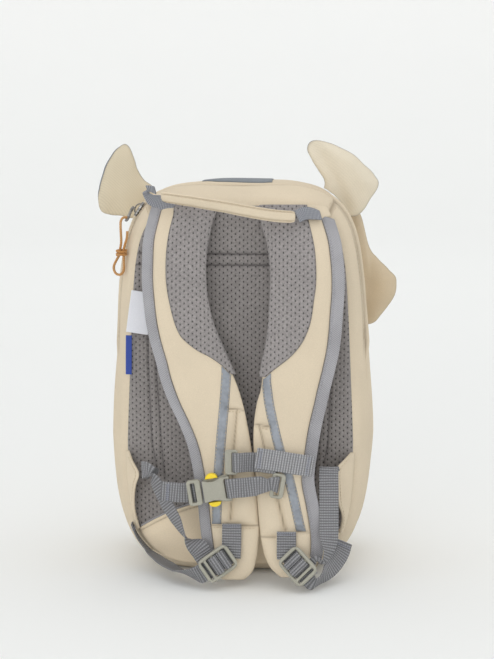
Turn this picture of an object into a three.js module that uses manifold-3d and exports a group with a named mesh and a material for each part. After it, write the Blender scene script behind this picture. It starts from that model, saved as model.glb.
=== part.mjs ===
import * as THREE from "three";
import Module from "manifold-3d";

// Child's plush animal backpack, standing on its base with the shoulder straps towards -Y.
// Millimetres, +Z up, floor at z = 0, X to the right of someone who looks at the straps.

// ---- driving dimensions ---------------------------------------------------
const GAP = 0.4; // clearance between neighbouring pieces
const WALL = 2.5; // lined canvas wall of the bag
const BACK_Y = -60; // plane of the seam between back panel and gusset
const PANEL_EDGE = 3; // back panel thickness at its seam
const PANEL_CROWN = 5; // extra padding at the middle of the back panel
const CLOTH = 1.2; // single sewn cloth layer
const ZIP_REAR = -41; // rear edge of the zipper slot
const ZIP_FRONT = -31; // front edge of the zipper slot
const ZIP_FROM = 0.27; // share of the way round where the zipper starts, from the middle of the base
const TAPE = 1; // zipper tape thickness
const PAD_HALF = 4.4; // half thickness of a shoulder pad
const BINDING_HALF = 2; // half thickness of the folded binding
const BINDING_WIDTH = 8.3;
const WEB = 15; // webbing width
const WEB_THICK = 1.3;
const CRUMPLE = 0.7; // share of a turn's radius that the inner edge of a band may reach
const LOCK = { width: 21, thick: 3.4, frame: 2.6, corner: 5, bars: [-13.5, -10.6, -6.6, -4.4, 0, 2.2, 6.4, 8.6, 10.8, 13.5] };
const COLUMNS = 56; // facets round the bag

const COLOUR = {
  beige: 0xdccbae, mesh: 0x918b88, twill: 0xa4a3a8, web: 0x97989c, reflector: 0x8b9096, plastic: 0xb2b0a2,
  yellow: 0xf0d332, metal: 0x55504a, orange: 0xc98432, white: 0xe9eaf2, blue: 0x3d55a6, grey: 0xb9bab6, tape: 0xcdbfa4,
};

// ---- tables ----------------------------------------------------------------
const table = (columns, rows) => {
  const names = columns.split(" ");
  return rows.map((r) => Object.fromEntries(names.map((n, i) => [n, r[i]])));
};

// Cross sections of the bag at depth y: greatest half width, lowest and highest point, narrowing to the top, squareness below and above.
const SECTIONS = table("y half low high taper nLow nHigh", [
  [-60, 90, 6, 294, 0.07, 4.5, 6],
  [-56, 95, 2, 299, 0.075, 4.3, 5.6],
  [-46, 101, -2.5, 304.5, 0.08, 4, 5.2],
  [-28, 105.5, -4, 308.5, 0.088, 3.7, 4.8],
  [-8, 106.8, -4, 310, 0.09, 3.6, 4.6],
  [15, 106, -4, 309.5, 0.09, 3.6, 4.6],
  [36, 103, -3.5, 307, 0.09, 3.6, 4.6],
  [50, 97, -1, 301.5, 0.09, 3.6, 4.6],
  [57, 90, 4, 294, 0.09, 3.6, 4.6],
]);
// Front panel beyond its seam: depth and share of the seam outline.
const FRONT_DOME = table("y share", [
  [60.5, 0.93],
  [64, 0.8],
  [67, 0.6],
  [69, 0.38],
  [70, 0.16],
]);

// Shoulder straps, one row per level: outer edge, inner edge and depth of the middle of the pad.
const STRAP = {
  left: table("z outer inner y", [
    [290, -69.5, -19.5, -68], [280, -71.7, -23.4, -74.5], [268, -73.9, -26.1, -80.5], [252, -74.3, -27.6, -86], [236, -74.2, -27.4, -88.5],
    [220, -72.9, -25.4, -89.5], [205, -71.1, -21.7, -90], [190, -68, -15.6, -90], [175, -63.8, -9, -90], [160, -60.1, -2.1, -90],
    [143, -53.8, 3.5, -91], [127, -46.2, 7.1, -92], [111, -39.7, 10, -93], [95, -35.8, 12.3, -94], [69, -31.5, 15, -96],
    [46, -29.1, 16.7, -98], [31, -27.1, 15.9, -99], [20, -24.5, 14.4, -100], [11, -20.5, 11.6, -101], [5, -12, 5.6, -101],
  ]),
  right: table("z outer inner y", [
    [290, 70.5, 17.5, -68], [280, 74.3, 19.7, -74.5], [268, 78, 24.2, -80.5], [256, 79.8, 26.3, -86], [244, 80.9, 27.6, -88.5],
    [229, 81, 27.3, -90], [213, 79.9, 26.5, -91], [198, 78.9, 25.4, -92], [184, 77.2, 23, -92], [170, 74.3, 19.9, -92],
    [154, 70.5, 17.9, -92], [142, 67.9, 14.6, -92.5], [125, 64, 12.5, -94], [108, 61.3, 12.4, -95], [84, 58.6, 14.3, -97],
    [63, 62.4, 15.9, -99], [46, 65.2, 17.4, -100], [34, 66.1, 19, -101], [23, 65, 21.9, -102], [15, 61.3, 25.9, -103], [8, 53, 33.5, -103],
  ]),
};
// Edge between the beige outer band and the perforated face of a strap.
const MESH_EDGE = {
  left: table("z x", [[286, -51], [268, -54.4], [252, -55.5], [237, -55.1], [222, -52.8], [206, -48.8], [196, -44.4], [190, -38.8], [184, -31], [179, -21.8], [172, -12.2], [167, -7.5]]),
  right: table("z x", [[286, 52.6], [272, 56.4], [260, 58.9], [246, 60], [234, 59.8], [223, 58.4], [207, 56.1], [196, 52.2], [188, 47.6], [180, 40.8], [173, 32.4], [167, 25]]),
};
// Middle line of the reflective strip on each strap.
const REFLECTOR = {
  left: table("z x", [[166, -9.2], [144, -10.6], [113, -13], [88, -14.6], [48.5, -16.2]]),
  right: table("z x", [[160, 22.4], [141, 25.1], [108, 32.9], [87, 39.6], [58, 46.3], [44, 49.5]]),
};

// Soft outlines round a centre: direction and reach.
const EAR_OUTLINE = {
  left: table("deg reach", [[-46, 30], [-10, 27], [15, 18], [50, 18], [70, 25], [86, 34], [98, 31], [116, 24.3], [149, 18.6], [186, 19.4], [209, 24.2], [229, 28.4], [245, 26.8], [265, 25.2], [284, 28]]),
  right: table("deg reach", [[4, 25], [34, 19.3], [65, 20], [95, 24], [114, 31], [132, 39.8], [144, 38], [150, 31.8], [164, 22.6], [184, 16], [211, 15.5], [227, 24], [266, 30], [289, 33], [320, 27.8], [351, 28.6]]),
};
const LOBE_OUTLINE = table("deg reach", [[12, 22.6], [32, 19.8], [60, 20], [76, 22.8], [88, 27.5], [94, 37], [97.4, 58], [101, 63], [108, 58], [122, 40], [180, 26], [240, 34], [262, 36], [277, 34.4], [288.5, 29.8], [300, 26.8], [313.5, 24.8], [339, 23.7], [356, 22.9]]);

// Middle lines of the webbing and of the grab handle; s is the direction of the width.
const ADJUSTER = {
  left: table("x y z sx sy sz", [
    [-76, -83.5, 86.5, 0.2, -0.2, -0.95], [-70.5, -89.5, 87, 0.4, -0.3, -0.85], [-65.6, -93.5, 82, 0.62, -0.6, -0.45], [-61, -96.5, 74, 0.6, -0.75, -0.05], [-55, -100, 63.5, 0.5, -0.83, 0.15],
    [-48, -103.5, 52.5, 0.42, -0.87, 0.22], [-39.8, -107, 39, 0.2, -0.96, 0.1],
  ]),
  right: table("x y z sx sy sz", [
    [72, -86.4, 88, 0.9, 0.3, -0.2], [71, -91, 92, 1, 0.1, 0], [70.8, -96, 86, 1, 0, 0], [71, -98.5, 75.9, 1, 0, 0], [71.2, -103, 53.3, 1, 0, 0],
    [71.2, -107, 38, 0.9, 0.4, 0], [69.8, -110, 29, 0.65, 0.7, -0.2], [66.6, -112.8, 23, 0.55, 0.65, -0.45],
  ]),
};
const TAIL = {
  left: table("x y z sx sy sz", [[-37, -107, 9.2, -0.5, -0.5, 0.6], [-46, -98, 9.6, -0.5, -0.82, 0.2], [-55, -87, 11, -0.3, -0.95, 0.05], [-64, -76, 13.4, -0.1, -0.99, 0], [-73.5, -68.5, 18.5, 0.08, -1, 0], [-82.5, -66.5, 29.6, 0.1, -1, 0], [-86.6, -66, 39.5, 0.1, -1, 0]]),
  right: table("x y z sx sy sz", [[67.5, -109.5, 11, -0.3, -0.1, -0.85], [75.4, -99, 17.6, 0.45, 0, -0.85], [80.4, -90, 24.4, 0.7, -0.05, -0.7], [82.6, -83, 31, 0.8, -0.1, -0.55]]),
};
const HANDLE = table("x y z sx sy sz", [
  [-60, -73.6, 302, 0, -0.55, 0.83], [-46, -78, 300, 0, -0.45, 0.89], [-29, -83.5, 297.8, 0, -0.36, 0.93], [-6, -88.5, 294.2, 0, -0.2, 0.98],
  [17, -90.5, 290, 0, 0, 1], [32, -88.5, 287.8, 0, 0.15, 0.98], [43.4, -85, 287, 0, 0.25, 0.96],
]);
const HANDLE_TABS = {
  left: table("x y z sx sy sz", [[-50, -66.2, 297, 0.05, -0.1, 1], [-60, -66.4, 297.6, 0.1, -0.15, 0.98], [-68, -67.4, 300, 0.25, -0.3, 0.9], [-72, -70.6, 304, 0.5, -0.5, 0.6], [-70.4, -74.8, 307, 0.45, -0.6, 0.5], [-64.6, -76.4, 306, 0.2, -0.7, 0.5]]),
  right: table("x y z sx sy sz", [[46, -84, 287, 0.1, 0.3, 0.94], [54, -80.4, 288.6, 0.12, 0.42, 0.9], [61, -76, 289.6, 0.15, 0.6, 0.75], [66, -72.4, 290.4, 0.2, 0.8, 0.55]]),
};
// Inner edge of each wing against the side seam: level, reach to the middle and reach to the front.
const WING = {
  left: table("z inward forward", [[99, 1.2, 1.2], [92, 5, 8], [84, 10.5, 16], [74, 7, 13], [62, 4, 9], [50, 2.4, 6], [41, 2, 4], [36, 1.2, 1.2]]),
  right: table("z inward forward", [[99, 1.2, 1.2], [95, 7, 11], [90, 12.5, 17.5], [76, 12, 14], [60, 9, 10], [52, 5, 7], [46, 3, 4.5], [40, 2, 3], [34, 1.2, 1.2]]),
};
// Middle line of the loop of cord on the zipper pull.
const CORD_RADIUS = 1;
const PULL_FOOT = [-91, -47, 280.6];
const CORD = table("x y z", [
  [-90.05, -45.7, 282.7], [-91.24, -46.21, 283.23], [-92.47, -46.87, 283.3], [-93.7, -47.65, 282.85], [-94.6, -48.4, 281.8], [-95.17, -49.22, 279.9], [-95.2, -50.1, 276.3], [-94.9, -50.9, 270.6], [-94.7, -51.2, 264],
  [-95.5, -51.4, 258.6], [-96.4, -51.4, 253.8], [-98.6, -51.4, 249.6], [-100.6, -51.4, 245.2], [-100.5, -51.6, 241.6], [-98.7, -52, 238.9], [-96, -52.5, 238.2], [-93.5, -52.9, 240], [-92.5, -53, 243.6], [-92.6, -52.8, 248], [-92.7, -52.4, 253], [-92.7, -52, 258], [-91.6, -51.2, 262.5], [-90.3, -50, 267.5], [-90, -49, 272.5],
]);
const KNOT = { x: -94.45, y: -51.8, z: 255.5, hole: 3.7, outer: 4.9, height: 4 };

// ---- numbers along a table --------------------------------------------------
function at(rows, key, value) {
  const up = rows[rows.length - 1][key] > rows[0][key];
  const list = up ? rows : [...rows].reverse();
  const v = Math.min(Math.max(value, list[0][key]), list[list.length - 1][key]);
  let i = 0;
  while (i < list.length - 2 && list[i + 1][key] < v) i++;
  const a = list[i], b = list[i + 1], before = list[i - 1] ?? a, after = list[i + 2] ?? b;
  const h = b[key] - a[key], t = (v - a[key]) / h;
  const out = {};
  for (const n of Object.keys(a)) {
    const slope = (p, q) => (q[key] === p[key] ? 0 : (q[n] - p[n]) / (q[key] - p[key]));
    const m0 = slope(before, b) * h, m1 = slope(a, after) * h;
    out[n] = a[n] * (2 * t ** 3 - 3 * t * t + 1) + m0 * (t ** 3 - 2 * t * t + t) + b[n] * (3 * t * t - 2 * t ** 3) + m1 * (t ** 3 - t * t);
  }
  return out;
}
const V = (x, y, z) => new THREE.Vector3(x, y, z);
const mix = (a, b, t) => a + (b - a) * t;
const range = (n) => Array.from({ length: n + 1 }, (_, i) => i / n);

// ---- closed solids from grids of points --------------------------------------
function geometry(points, faces) {
  let volume = 0;
  for (let i = 0; i < faces.length; i += 3) volume += points[faces[i]].dot(points[faces[i + 1]].clone().cross(points[faces[i + 2]]));
  if (volume < 0) for (let i = 0; i < faces.length; i += 3) [faces[i + 1], faces[i + 2]] = [faces[i + 2], faces[i + 1]];
  const g = new THREE.BufferGeometry();
  g.setAttribute("position", new THREE.BufferAttribute(new Float32Array(points.flatMap((p) => [p.x, p.y, p.z])), 3));
  g.setIndex(faces);
  return g;
}
// Two matching grids joined along their edges; a ring closes on itself, a cap runs the last row into a middle point.
function gridSolid(a, b, ring = false, cap = null) {
  const points = [], faces = [];
  const put = (p) => points.push(p) - 1;
  const A = a.map((r) => r.map(put)), B = b.map((r) => r.map(put));
  const quad = (p, q, r, s) => faces.push(p, q, r, p, r, s);
  const last = a.length - 1, columns = a[0].length, n = ring ? columns : columns - 1;
  const capA = cap ? put(cap[0]) : -1, capB = cap ? put(cap[1]) : -1;
  for (let j = 0; j < n; j++) {
    const k = (j + 1) % columns;
    for (let i = 0; i < last; i++) {
      quad(A[i][j], A[i][k], A[i + 1][k], A[i + 1][j]);
      quad(B[i + 1][j], B[i + 1][k], B[i][k], B[i][j]);
    }
    quad(A[0][k], A[0][j], B[0][j], B[0][k]);
    if (cap) faces.push(A[last][j], A[last][k], capA, B[last][k], B[last][j], capB);
    else quad(A[last][j], A[last][k], B[last][k], B[last][j]);
  }
  if (!ring)
    for (let i = 0; i < last; i++) {
      quad(A[i][0], A[i + 1][0], B[i + 1][0], B[i][0]);
      quad(A[i + 1][n], A[i][n], B[i][n], B[i + 1][n]);
    }
  return geometry(points, faces);
}
function normals(grid, towards, ring) {
  const rows = grid.length, columns = grid[0].length;
  const g = (i, j) => grid[Math.min(Math.max(i, 0), rows - 1)][ring ? (j + columns) % columns : Math.min(Math.max(j, 0), columns - 1)];
  return grid.map((row, i) =>
    row.map((p, j) => {
      const du = g(i, j + 1).clone().sub(g(i, j - 1)), dv = g(i + 1, j).clone().sub(g(i - 1, j));
      const n = du.cross(dv).normalize();
      return n.dot(towards(p)) < 0 ? n.negate() : n;
    }),
  );
}
// A layer of cloth over a surface P(u, v), from lo to hi above it.
function layer(P, columns, rows, lo, hi, towards) {
  const us = range(columns), vs = range(rows);
  const grid = vs.map((v) => us.map((u) => P(u, v)));
  const N = normals(grid, towards, false);
  const shift = (f) => grid.map((r, i) => r.map((p, j) => p.clone().addScaledVector(N[i][j], f(us[j], vs[i]))));
  return gridSolid(shift(hi), shift(lo));
}
// A flat band along a middle line, with its own width direction at each row. Where it turns sharply in its own plane the inner edge draws in, as webbing crumples there.
function band(rows, width, thick, steps) {
  const curve = new THREE.CatmullRomCurve3(rows.map((r) => V(r.x, r.y, r.z)), false, "centripetal");
  const step = 0.5 / steps;
  const places = range(steps).map((t) => {
    const f = t * (rows.length - 1), i = Math.min(Math.floor(f), rows.length - 2), k = f - i, a = rows[i], b = rows[i + 1];
    const c = curve.getPoint(t), d = curve.getTangent(t);
    const s = V(mix(a.sx, b.sx, k), mix(a.sy, b.sy, k), mix(a.sz, b.sz, k));
    s.addScaledVector(d, -s.dot(d)).normalize();
    const n = d.clone().cross(s).normalize();
    const t0 = Math.max(t - step, 0), t1 = Math.min(t + step, 1);
    const turn = curve.getTangent(t1).sub(curve.getTangent(t0)).dot(s) / curve.getPoint(t1).distanceTo(curve.getPoint(t0));
    const reach = (sign) => (turn * sign > 0 ? Math.min(width / 2, CRUMPLE / Math.abs(turn)) : width / 2);
    return { c, s, n, low: reach(-1), high: reach(1) };
  });
  const ease = (p, q) => {
    const slack = CRUMPLE * 0.5 * p.c.distanceTo(q.c);
    q.low = Math.min(q.low, p.low + slack);
    q.high = Math.min(q.high, p.high + slack);
  };
  for (let i = 1; i <= steps; i++) ease(places[i - 1], places[i]);
  for (let i = steps; i > 0; i--) ease(places[i], places[i - 1]);
  const face = (y) => places.map(({ c, s, n, low, high }) => [-low, high].map((x) => c.clone().addScaledVector(s, x).addScaledVector(n, (y * thick) / 2)));
  return gridSolid(face(1), face(-1));
}
// A local frame on a small hard piece: l along it, w across it, n out of its face.
function frameOf(origin, along, across) {
  const l = V(...along).normalize(), w = V(...across);
  w.addScaledVector(l, -w.dot(l)).normalize();
  let n = l.clone().cross(w);
  if (n.y > 0) n = n.negate();
  const o = V(...origin);
  const point = (a, b, c = 0) => o.clone().addScaledVector(l, a).addScaledVector(n, b).addScaledVector(w, c);
  return { o, l, w, n, point };
}
const row = (p, s) => ({ x: p.x, y: p.y, z: p.z, sx: s.x, sy: s.y, sz: s.z });
function roundedShape(x0, x1, y0, y1, r, target = new THREE.Shape()) {
  target.moveTo(x0 + r, y0).lineTo(x1 - r, y0).quadraticCurveTo(x1, y0, x1, y0 + r).lineTo(x1, y1 - r).quadraticCurveTo(x1, y1, x1 - r, y1);
  return target.lineTo(x0 + r, y1).quadraticCurveTo(x0, y1, x0, y1 - r).lineTo(x0, y0 + r).quadraticCurveTo(x0, y0, x0 + r, y0);
}
// A flat plate drawn in (l, w), raised along n, set into a frame.
function plate(shape, low, high, f) {
  const g = new THREE.ExtrudeGeometry(shape, { depth: high - low, bevelEnabled: false, curveSegments: 2 });
  g.translate(0, 0, low);
  const p = g.getAttribute("position"), points = [], faces = [];
  for (let i = 0; i < p.count; i++) {
    points.push(f.point(p.getX(i), p.getZ(i), p.getY(i)));
    faces.push(i);
  }
  return geometry(points, faces);
}

// ---- the bag ------------------------------------------------------------------
// Points of a section's outline, evenly spaced from the middle of the base round by +X, resting on the floor at rest.
function outline(sec, count, grow = 0, floor = 0, share = 1) {
  const centre = (sec.low + sec.high) / 2, tall = (sec.high - sec.low) / 2;
  const dense = 1440, raw = [];
  for (let i = 0; i <= dense; i++) {
    const angle = (2 * Math.PI * i) / dense, c = -Math.cos(angle), s = Math.sin(angle), n = c < 0 ? sec.nLow : sec.nHigh;
    const t = Math.sign(c) * Math.abs(c) ** (2 / n), x = Math.sign(s) * Math.abs(s) ** (2 / n);
    const narrow = 1 - sec.taper * Math.max(t + 0.3, 0);
    raw.push([share * (sec.half * narrow + grow) * x, centre + share * (tall + grow) * t]);
  }
  const run = [0];
  for (let i = 1; i <= dense; i++) run.push(run[i - 1] + Math.hypot(raw[i][0] - raw[i - 1][0], raw[i][1] - raw[i - 1][1]));
  const points = [];
  for (let j = 0, i = 0; j < count; j++) {
    const want = (run[dense] * j) / count;
    while (run[i + 1] < want) i++;
    const t = (want - run[i]) / (run[i + 1] - run[i]);
    points.push([mix(raw[i][0], raw[i + 1][0], t), Math.max(mix(raw[i][1], raw[i + 1][1], t), floor)]);
  }
  return points;
}
const ring = (y, grow = 0, floor = 0) => outline(at(SECTIONS, "y", y), COLUMNS, grow, floor).map(([x, z]) => V(x, y, z));
const outward = (p) => V(p.x, 0, p.z - 150);
const MIDDLE_Z = (SECTIONS[8].low + SECTIONS[8].high) / 2;
const domeRing = (d, grow = 0, floor = 0) => outline(SECTIONS[8], COLUMNS, grow, floor, d.share).map(([x, z]) => V(x, d.y, z));

const GUSSET_DEPTHS = [-60, -57.5, -53, -47, ZIP_REAR];
const SHELL_DEPTHS = [-20, -4, 14, 30, 42, 51, 57];
const FLAP_COLUMNS = [23, 32];
function rearGusset() {
  const ys = GUSSET_DEPTHS;
  return gridSolid(ys.map((y) => ring(y)), ys.map((y) => ring(y, -WALL, WALL)), true);
}
// Flap of the gusset over the zipper along the top.
function gussetFlap() {
  const rows = [[-44, -1.4, 0.4], [ZIP_REAR, -0.15, 1], [ZIP_FRONT - GAP, -0.15, 1]];
  const side = (k) => rows.map((r) => ring(r[0], r[k]).slice(FLAP_COLUMNS[0], FLAP_COLUMNS[1] + 1));
  return gridSolid(side(2), side(1));
}
// The shell reaches back to the gusset under the zipper's ends and stops short of it along the zipper.
function shellEdge(j) {
  const away = Math.abs(j / COLUMNS - 0.5), ends = 0.5 - ZIP_FROM;
  return away < ends ? ZIP_FRONT : ZIP_REAR + GAP;
}
function frontShell() {
  const ys = [null, ...SHELL_DEPTHS];
  const rings = (grow, floor) => {
    const rows = ys.map((y) => (y === null ? range(COLUMNS - 1).map((_, j) => ring(shellEdge(j), grow, floor)[j]) : ring(y, grow, floor)));
    return rows;
  };
  const outer = [...rings(0, 0), ...FRONT_DOME.map((d) => domeRing(d))];
  const inner = [...rings(-WALL, WALL), ...FRONT_DOME.map((d) => domeRing({ y: d.y - WALL, share: d.share * 0.975 }, 0, WALL))];
  return gridSolid(outer, inner, true, [V(0, 70.4, MIDDLE_Z), V(0, 70.4 - WALL, MIDDLE_Z)]);
}
// The bag as one plain block, a little larger: cuts what is sewn onto it to fit.
function bagBlock() {
  const ys = [...GUSSET_DEPTHS, ZIP_FRONT, ...SHELL_DEPTHS];
  const rows = [...ys.map((y) => ring(y, GAP, -20)), ...FRONT_DOME.map((d) => domeRing({ y: d.y + GAP, share: d.share }, GAP, -20))];
  const points = rows.flat(), faces = [], n = COLUMNS;
  rows.slice(1).forEach((_, i) => {
    for (let j = 0; j < n; j++) {
      const k = (j + 1) % n, a = i * n, b = a + n;
      faces.push(a + j, a + k, b + k, a + j, b + k, b + j);
    }
  });
  const back = points.push(V(0, BACK_Y, 150)) - 1, front = points.push(V(0, 70.4 + GAP, MIDDLE_Z)) - 1, top = (rows.length - 1) * n;
  for (let j = 0; j < n; j++) {
    const k = (j + 1) % n;
    faces.push(j, back, k, top + j, top + k, front);
  }
  return geometry(points, faces);
}
// Outer surface of the bag at a share of the way round and a depth.
const cache = new Map();
function surface(u, y) {
  const key = y.toFixed(3);
  if (!cache.has(key)) cache.set(key, outline(at(SECTIONS, "y", y), 720));
  const pts = cache.get(key), f = (u - Math.floor(u)) * 720, i = Math.floor(f), t = f - i, a = pts[i % 720], b = pts[(i + 1) % 720];
  return V(mix(a[0], b[0], t), y, mix(a[1], b[1], t));
}

// Back panel: half width at a level, and the depth of its padded face.
const SEAM = SECTIONS[0], SEAM_MID = (SEAM.low + SEAM.high) / 2, SEAM_TALL = (SEAM.high - SEAM.low) / 2;
function seamHalf(z) {
  const t = (z - SEAM_MID) / SEAM_TALL, n = t < 0 ? SEAM.nLow : SEAM.nHigh;
  return SEAM.half * (1 - SEAM.taper * Math.max(t + 0.3, 0)) * (1 - Math.min(Math.abs(t), 1) ** n) ** (1 / n);
}
function panelFace(x, z) {
  const t = (z - SEAM_MID) / SEAM_TALL, a = Math.min(Math.abs(x) / seamHalf(z), 1);
  return BACK_Y - GAP - PANEL_EDGE - PANEL_CROWN * (1 - a ** 3) * (1 - Math.abs(t) ** 4);
}
function backPanel() {
  const levels = range(14).map((k) => SEAM_MID - SEAM_TALL * 0.985 * Math.cos(Math.PI * k));
  const across = range(10).map((k) => -Math.cos(Math.PI * k));
  const grid = (f) => levels.map((z) => across.map((a) => f(a * seamHalf(z), z)));
  return gridSolid(grid((x, z) => V(x, panelFace(x, z), z)), grid((x, z) => V(x, BACK_Y - GAP, z)));
}
const LOWER_ARCH = (x) => 62 - 26 * (x / 80) ** 2;
function lowerPanel() {
  const low = (x) => SEAM_MID - SEAM_TALL * 0.975 * (1 - Math.abs(x / (SEAM.half + 1)) ** SEAM.nLow) ** (1 / SEAM.nLow);
  const P = (u, v) => {
    const x = 76 * (2 * u - 1), z = mix(low(x), LOWER_ARCH(x), v);
    return V(x, panelFace(x, z), z);
  };
  return layer(P, 12, 3, () => GAP + 0.3, () => GAP + 0.3 + CLOTH, () => V(0, -1, 0));
}
function crownPatch() {
  const first = COLUMNS / 2 - 1, depths = [ZIP_FRONT + 1.5, ...SHELL_DEPTHS.slice(0, 5)];
  const rows = (grow) =>
    depths.map((y) => {
      const r = ring(y, grow);
      return [r[first].clone().lerp(r[first - 1], 0.4), ...r.slice(first, first + 4)];
    });
  return gridSolid(rows(GAP + CLOTH), rows(GAP));
}

// ---- zipper ---------------------------------------------------------------------
const ZIP_TO = 1 - ZIP_FROM;
const zipBand = (depths, lo, hi, spare) => {
  const first = Math.ceil(COLUMNS * ZIP_FROM) + spare, last = Math.floor(COLUMNS * ZIP_TO) - spare;
  const rows = (grow) => depths.map((y) => ring(y, grow, WALL).slice(first, last + 1));
  return gridSolid(rows(hi), rows(lo));
};
const SLIDER_AT = 0.595;
const SLIDER = (() => {
  const y = (ZIP_REAR + ZIP_FRONT) / 2, p = surface(SLIDER_AT, y), q = surface(SLIDER_AT + 0.004, y);
  const along = q.clone().sub(p).normalize(), out = V(-along.z, 0, along.x);
  if (out.dot(outward(p)) < 0) out.negate();
  return { p, along, out };
})();

// ---- straps -----------------------------------------------------------------------
const facing = () => V(0, -1, 0);
function strapRow(side, z) {
  const r = at(STRAP[side], "z", z), width = Math.abs(r.inner - r.outer);
  return { ...r, width, dir: Math.sign(r.inner - r.outer) };
}
// Point of the middle surface, a share v of the way from the outer to the inner edge.
const strapMid = (side, v, z) => {
  const r = strapRow(side, z);
  return V(mix(r.outer, r.inner, v), r.y - 1.5 * Math.sin(Math.PI * v), z);
};
const STRAP_TOP = 290, STRAP_END = { left: 5, right: 8 };
const taperTop = (z) => mix(0.42, 1, Math.min((STRAP_TOP - z) / 22, 1));
const bound = (side, z) => BINDING_WIDTH / strapRow(side, z).width;
function padHalf(side, v, z) {
  const b = bound(side, z), k = Math.min(Math.max((v - b) / (1 - b), 0), 1), end = Math.min((z - STRAP_END[side]) / 14, 1);
  return (0.9 + (PAD_HALF - 0.9) * (1 - Math.abs(2 * k - 1) ** 4) ** 0.5) * taperTop(z) * mix(0.35, 1, Math.sqrt(Math.max(end, 0)));
}
const strapLevel = (side, k) => mix(STRAP_TOP, STRAP_END[side], k);
const toEdge = (k) => 0.5 - 0.5 * Math.cos(Math.PI * k);
function strapPad(side) {
  const vs = range(24).map((k) => strapLevel(side, k)), us = range(6).map(toEdge);
  const edge = (z) => bound(side, z) + (2.5 * GAP) / strapRow(side, z).width;
  const grid = vs.map((z) => us.map((u) => strapMid(side, mix(edge(z), 1, u), z)));
  const N = normals(grid, facing, false);
  const face = (sign) => grid.map((r, i) => r.map((p, j) => p.clone().addScaledVector(N[i][j], sign * padHalf(side, mix(edge(vs[i]), 1, us[j]), vs[i]))));
  return gridSolid(face(1), face(-1));
}
function strapBinding(side) {
  const last = STRAP_END[side] + 15;
  const level = (k) => mix(STRAP_TOP, last, k);
  const half = (u, k) => (BINDING_HALF - 0.7 * Math.abs(2 * u - 1) ** 3) * mix(0.5, 1, taperTop(level(k)));
  const P = (u, k) => strapMid(side, u * bound(side, level(k)), level(k));
  return layer(P, 2, 22, (u, k) => -half(u, k), half, facing);
}
// A layer sewn to the front of a pad between two edges given in x.
function onPad(side, from, to, z0, z1, columns, rows, thick, lift = 2 * GAP) {
  const P = (u, k) => {
    const z = mix(z0, z1, k), r = strapRow(side, z);
    const x = mix(from(z, r), to(z, r), u), v = (x - r.outer) / (r.inner - r.outer);
    return strapMid(side, Math.min(Math.max(v, 0), 1), z);
  };
  const v = (u, z) => {
    const r = strapRow(side, z);
    return Math.min((mix(from(z, r), to(z, r), u) - r.outer) / (r.inner - r.outer), 0.93);
  };
  const lo = (u, k) => padHalf(side, v(u, mix(z0, z1, k)), mix(z0, z1, k)) + lift;
  return layer(P, columns, rows, lo, (u, k) => lo(u, k) + thick, facing);
}
function strapMesh(side) {
  const edge = MESH_EDGE[side], inner = (z, r) => r.inner - r.dir * 2.2;
  return onPad(side, (z) => at(edge, "z", z).x, inner, 286, 168, 4, 14, CLOTH);
}
function strapReflector(side) {
  const rows = REFLECTOR[side], x = (z) => at(rows, "z", z).x;
  return onPad(side, (z) => x(z) - 3.2, (z) => x(z) + 3.2, rows[0].z, rows[rows.length - 1].z, 1, 10, 0.6);
}

// ---- locks, webbing ------------------------------------------------------------------
const LOCK_FRAME = {
  left: frameOf([-14.5, -116.5, 21], [-21.5, -6, -14.5], [8.9, 0, -15.8]),
  right: frameOf([47.5, -119, 20.4], [16.25, -8, -16.15], [-9.2, 0, -11.2]),
};
function ladderLock(f) {
  const half = LOCK.width / 2, b = LOCK.bars;
  const shape = roundedShape(b[0], b[9], -half, half, LOCK.corner);
  for (const i of [1, 3, 5, 7]) shape.holes.push(roundedShape(b[i], b[i + 1], -half + LOCK.frame, half - LOCK.frame, 0.6, new THREE.Path()));
  return plate(shape, -LOCK.thick / 2, LOCK.thick / 2, f);
}
// The strap's webbing tab runs down behind the lock and loops round its first inner bar.
const TAB = {
  left: table("x y z sx sy sz", [[-4.1, -107, 50.5, 1, 0, 0], [-4.1, -108.2, 40, 1, 0, 0], [-4.3, -109.6, 30, 1, 0, 0], [-4.6, -110.3, 24, 1, 0, 0]]),
  right: table("x y z sx sy sz", [[38.4, -108.6, 45, 1, 0, 0], [38.4, -109.4, 38, 1, 0, 0], [38.4, -110.7, 30, 1, 0, 0], [38.6, -111.7, 24, 1, 0, 0]]),
};
function strapTab(side) {
  const f = LOCK_FRAME[side];
  const around = [[-11.6, -3.6], [-8, -3.5], [-5, -3.35], [-3.6, -2.4], [-3.3, -0.8], [-3.25, 1.4], [-4.4, 2.95], [-6.5, 2.95], [-7.8, 1.4], [-7.9, -1]];
  return joined(band(TAB[side], WEB, WEB_THICK, 8), band(around.map(([l, n]) => row(f.point(l, n), f.w)), WEB, WEB_THICK, 26));
}
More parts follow.
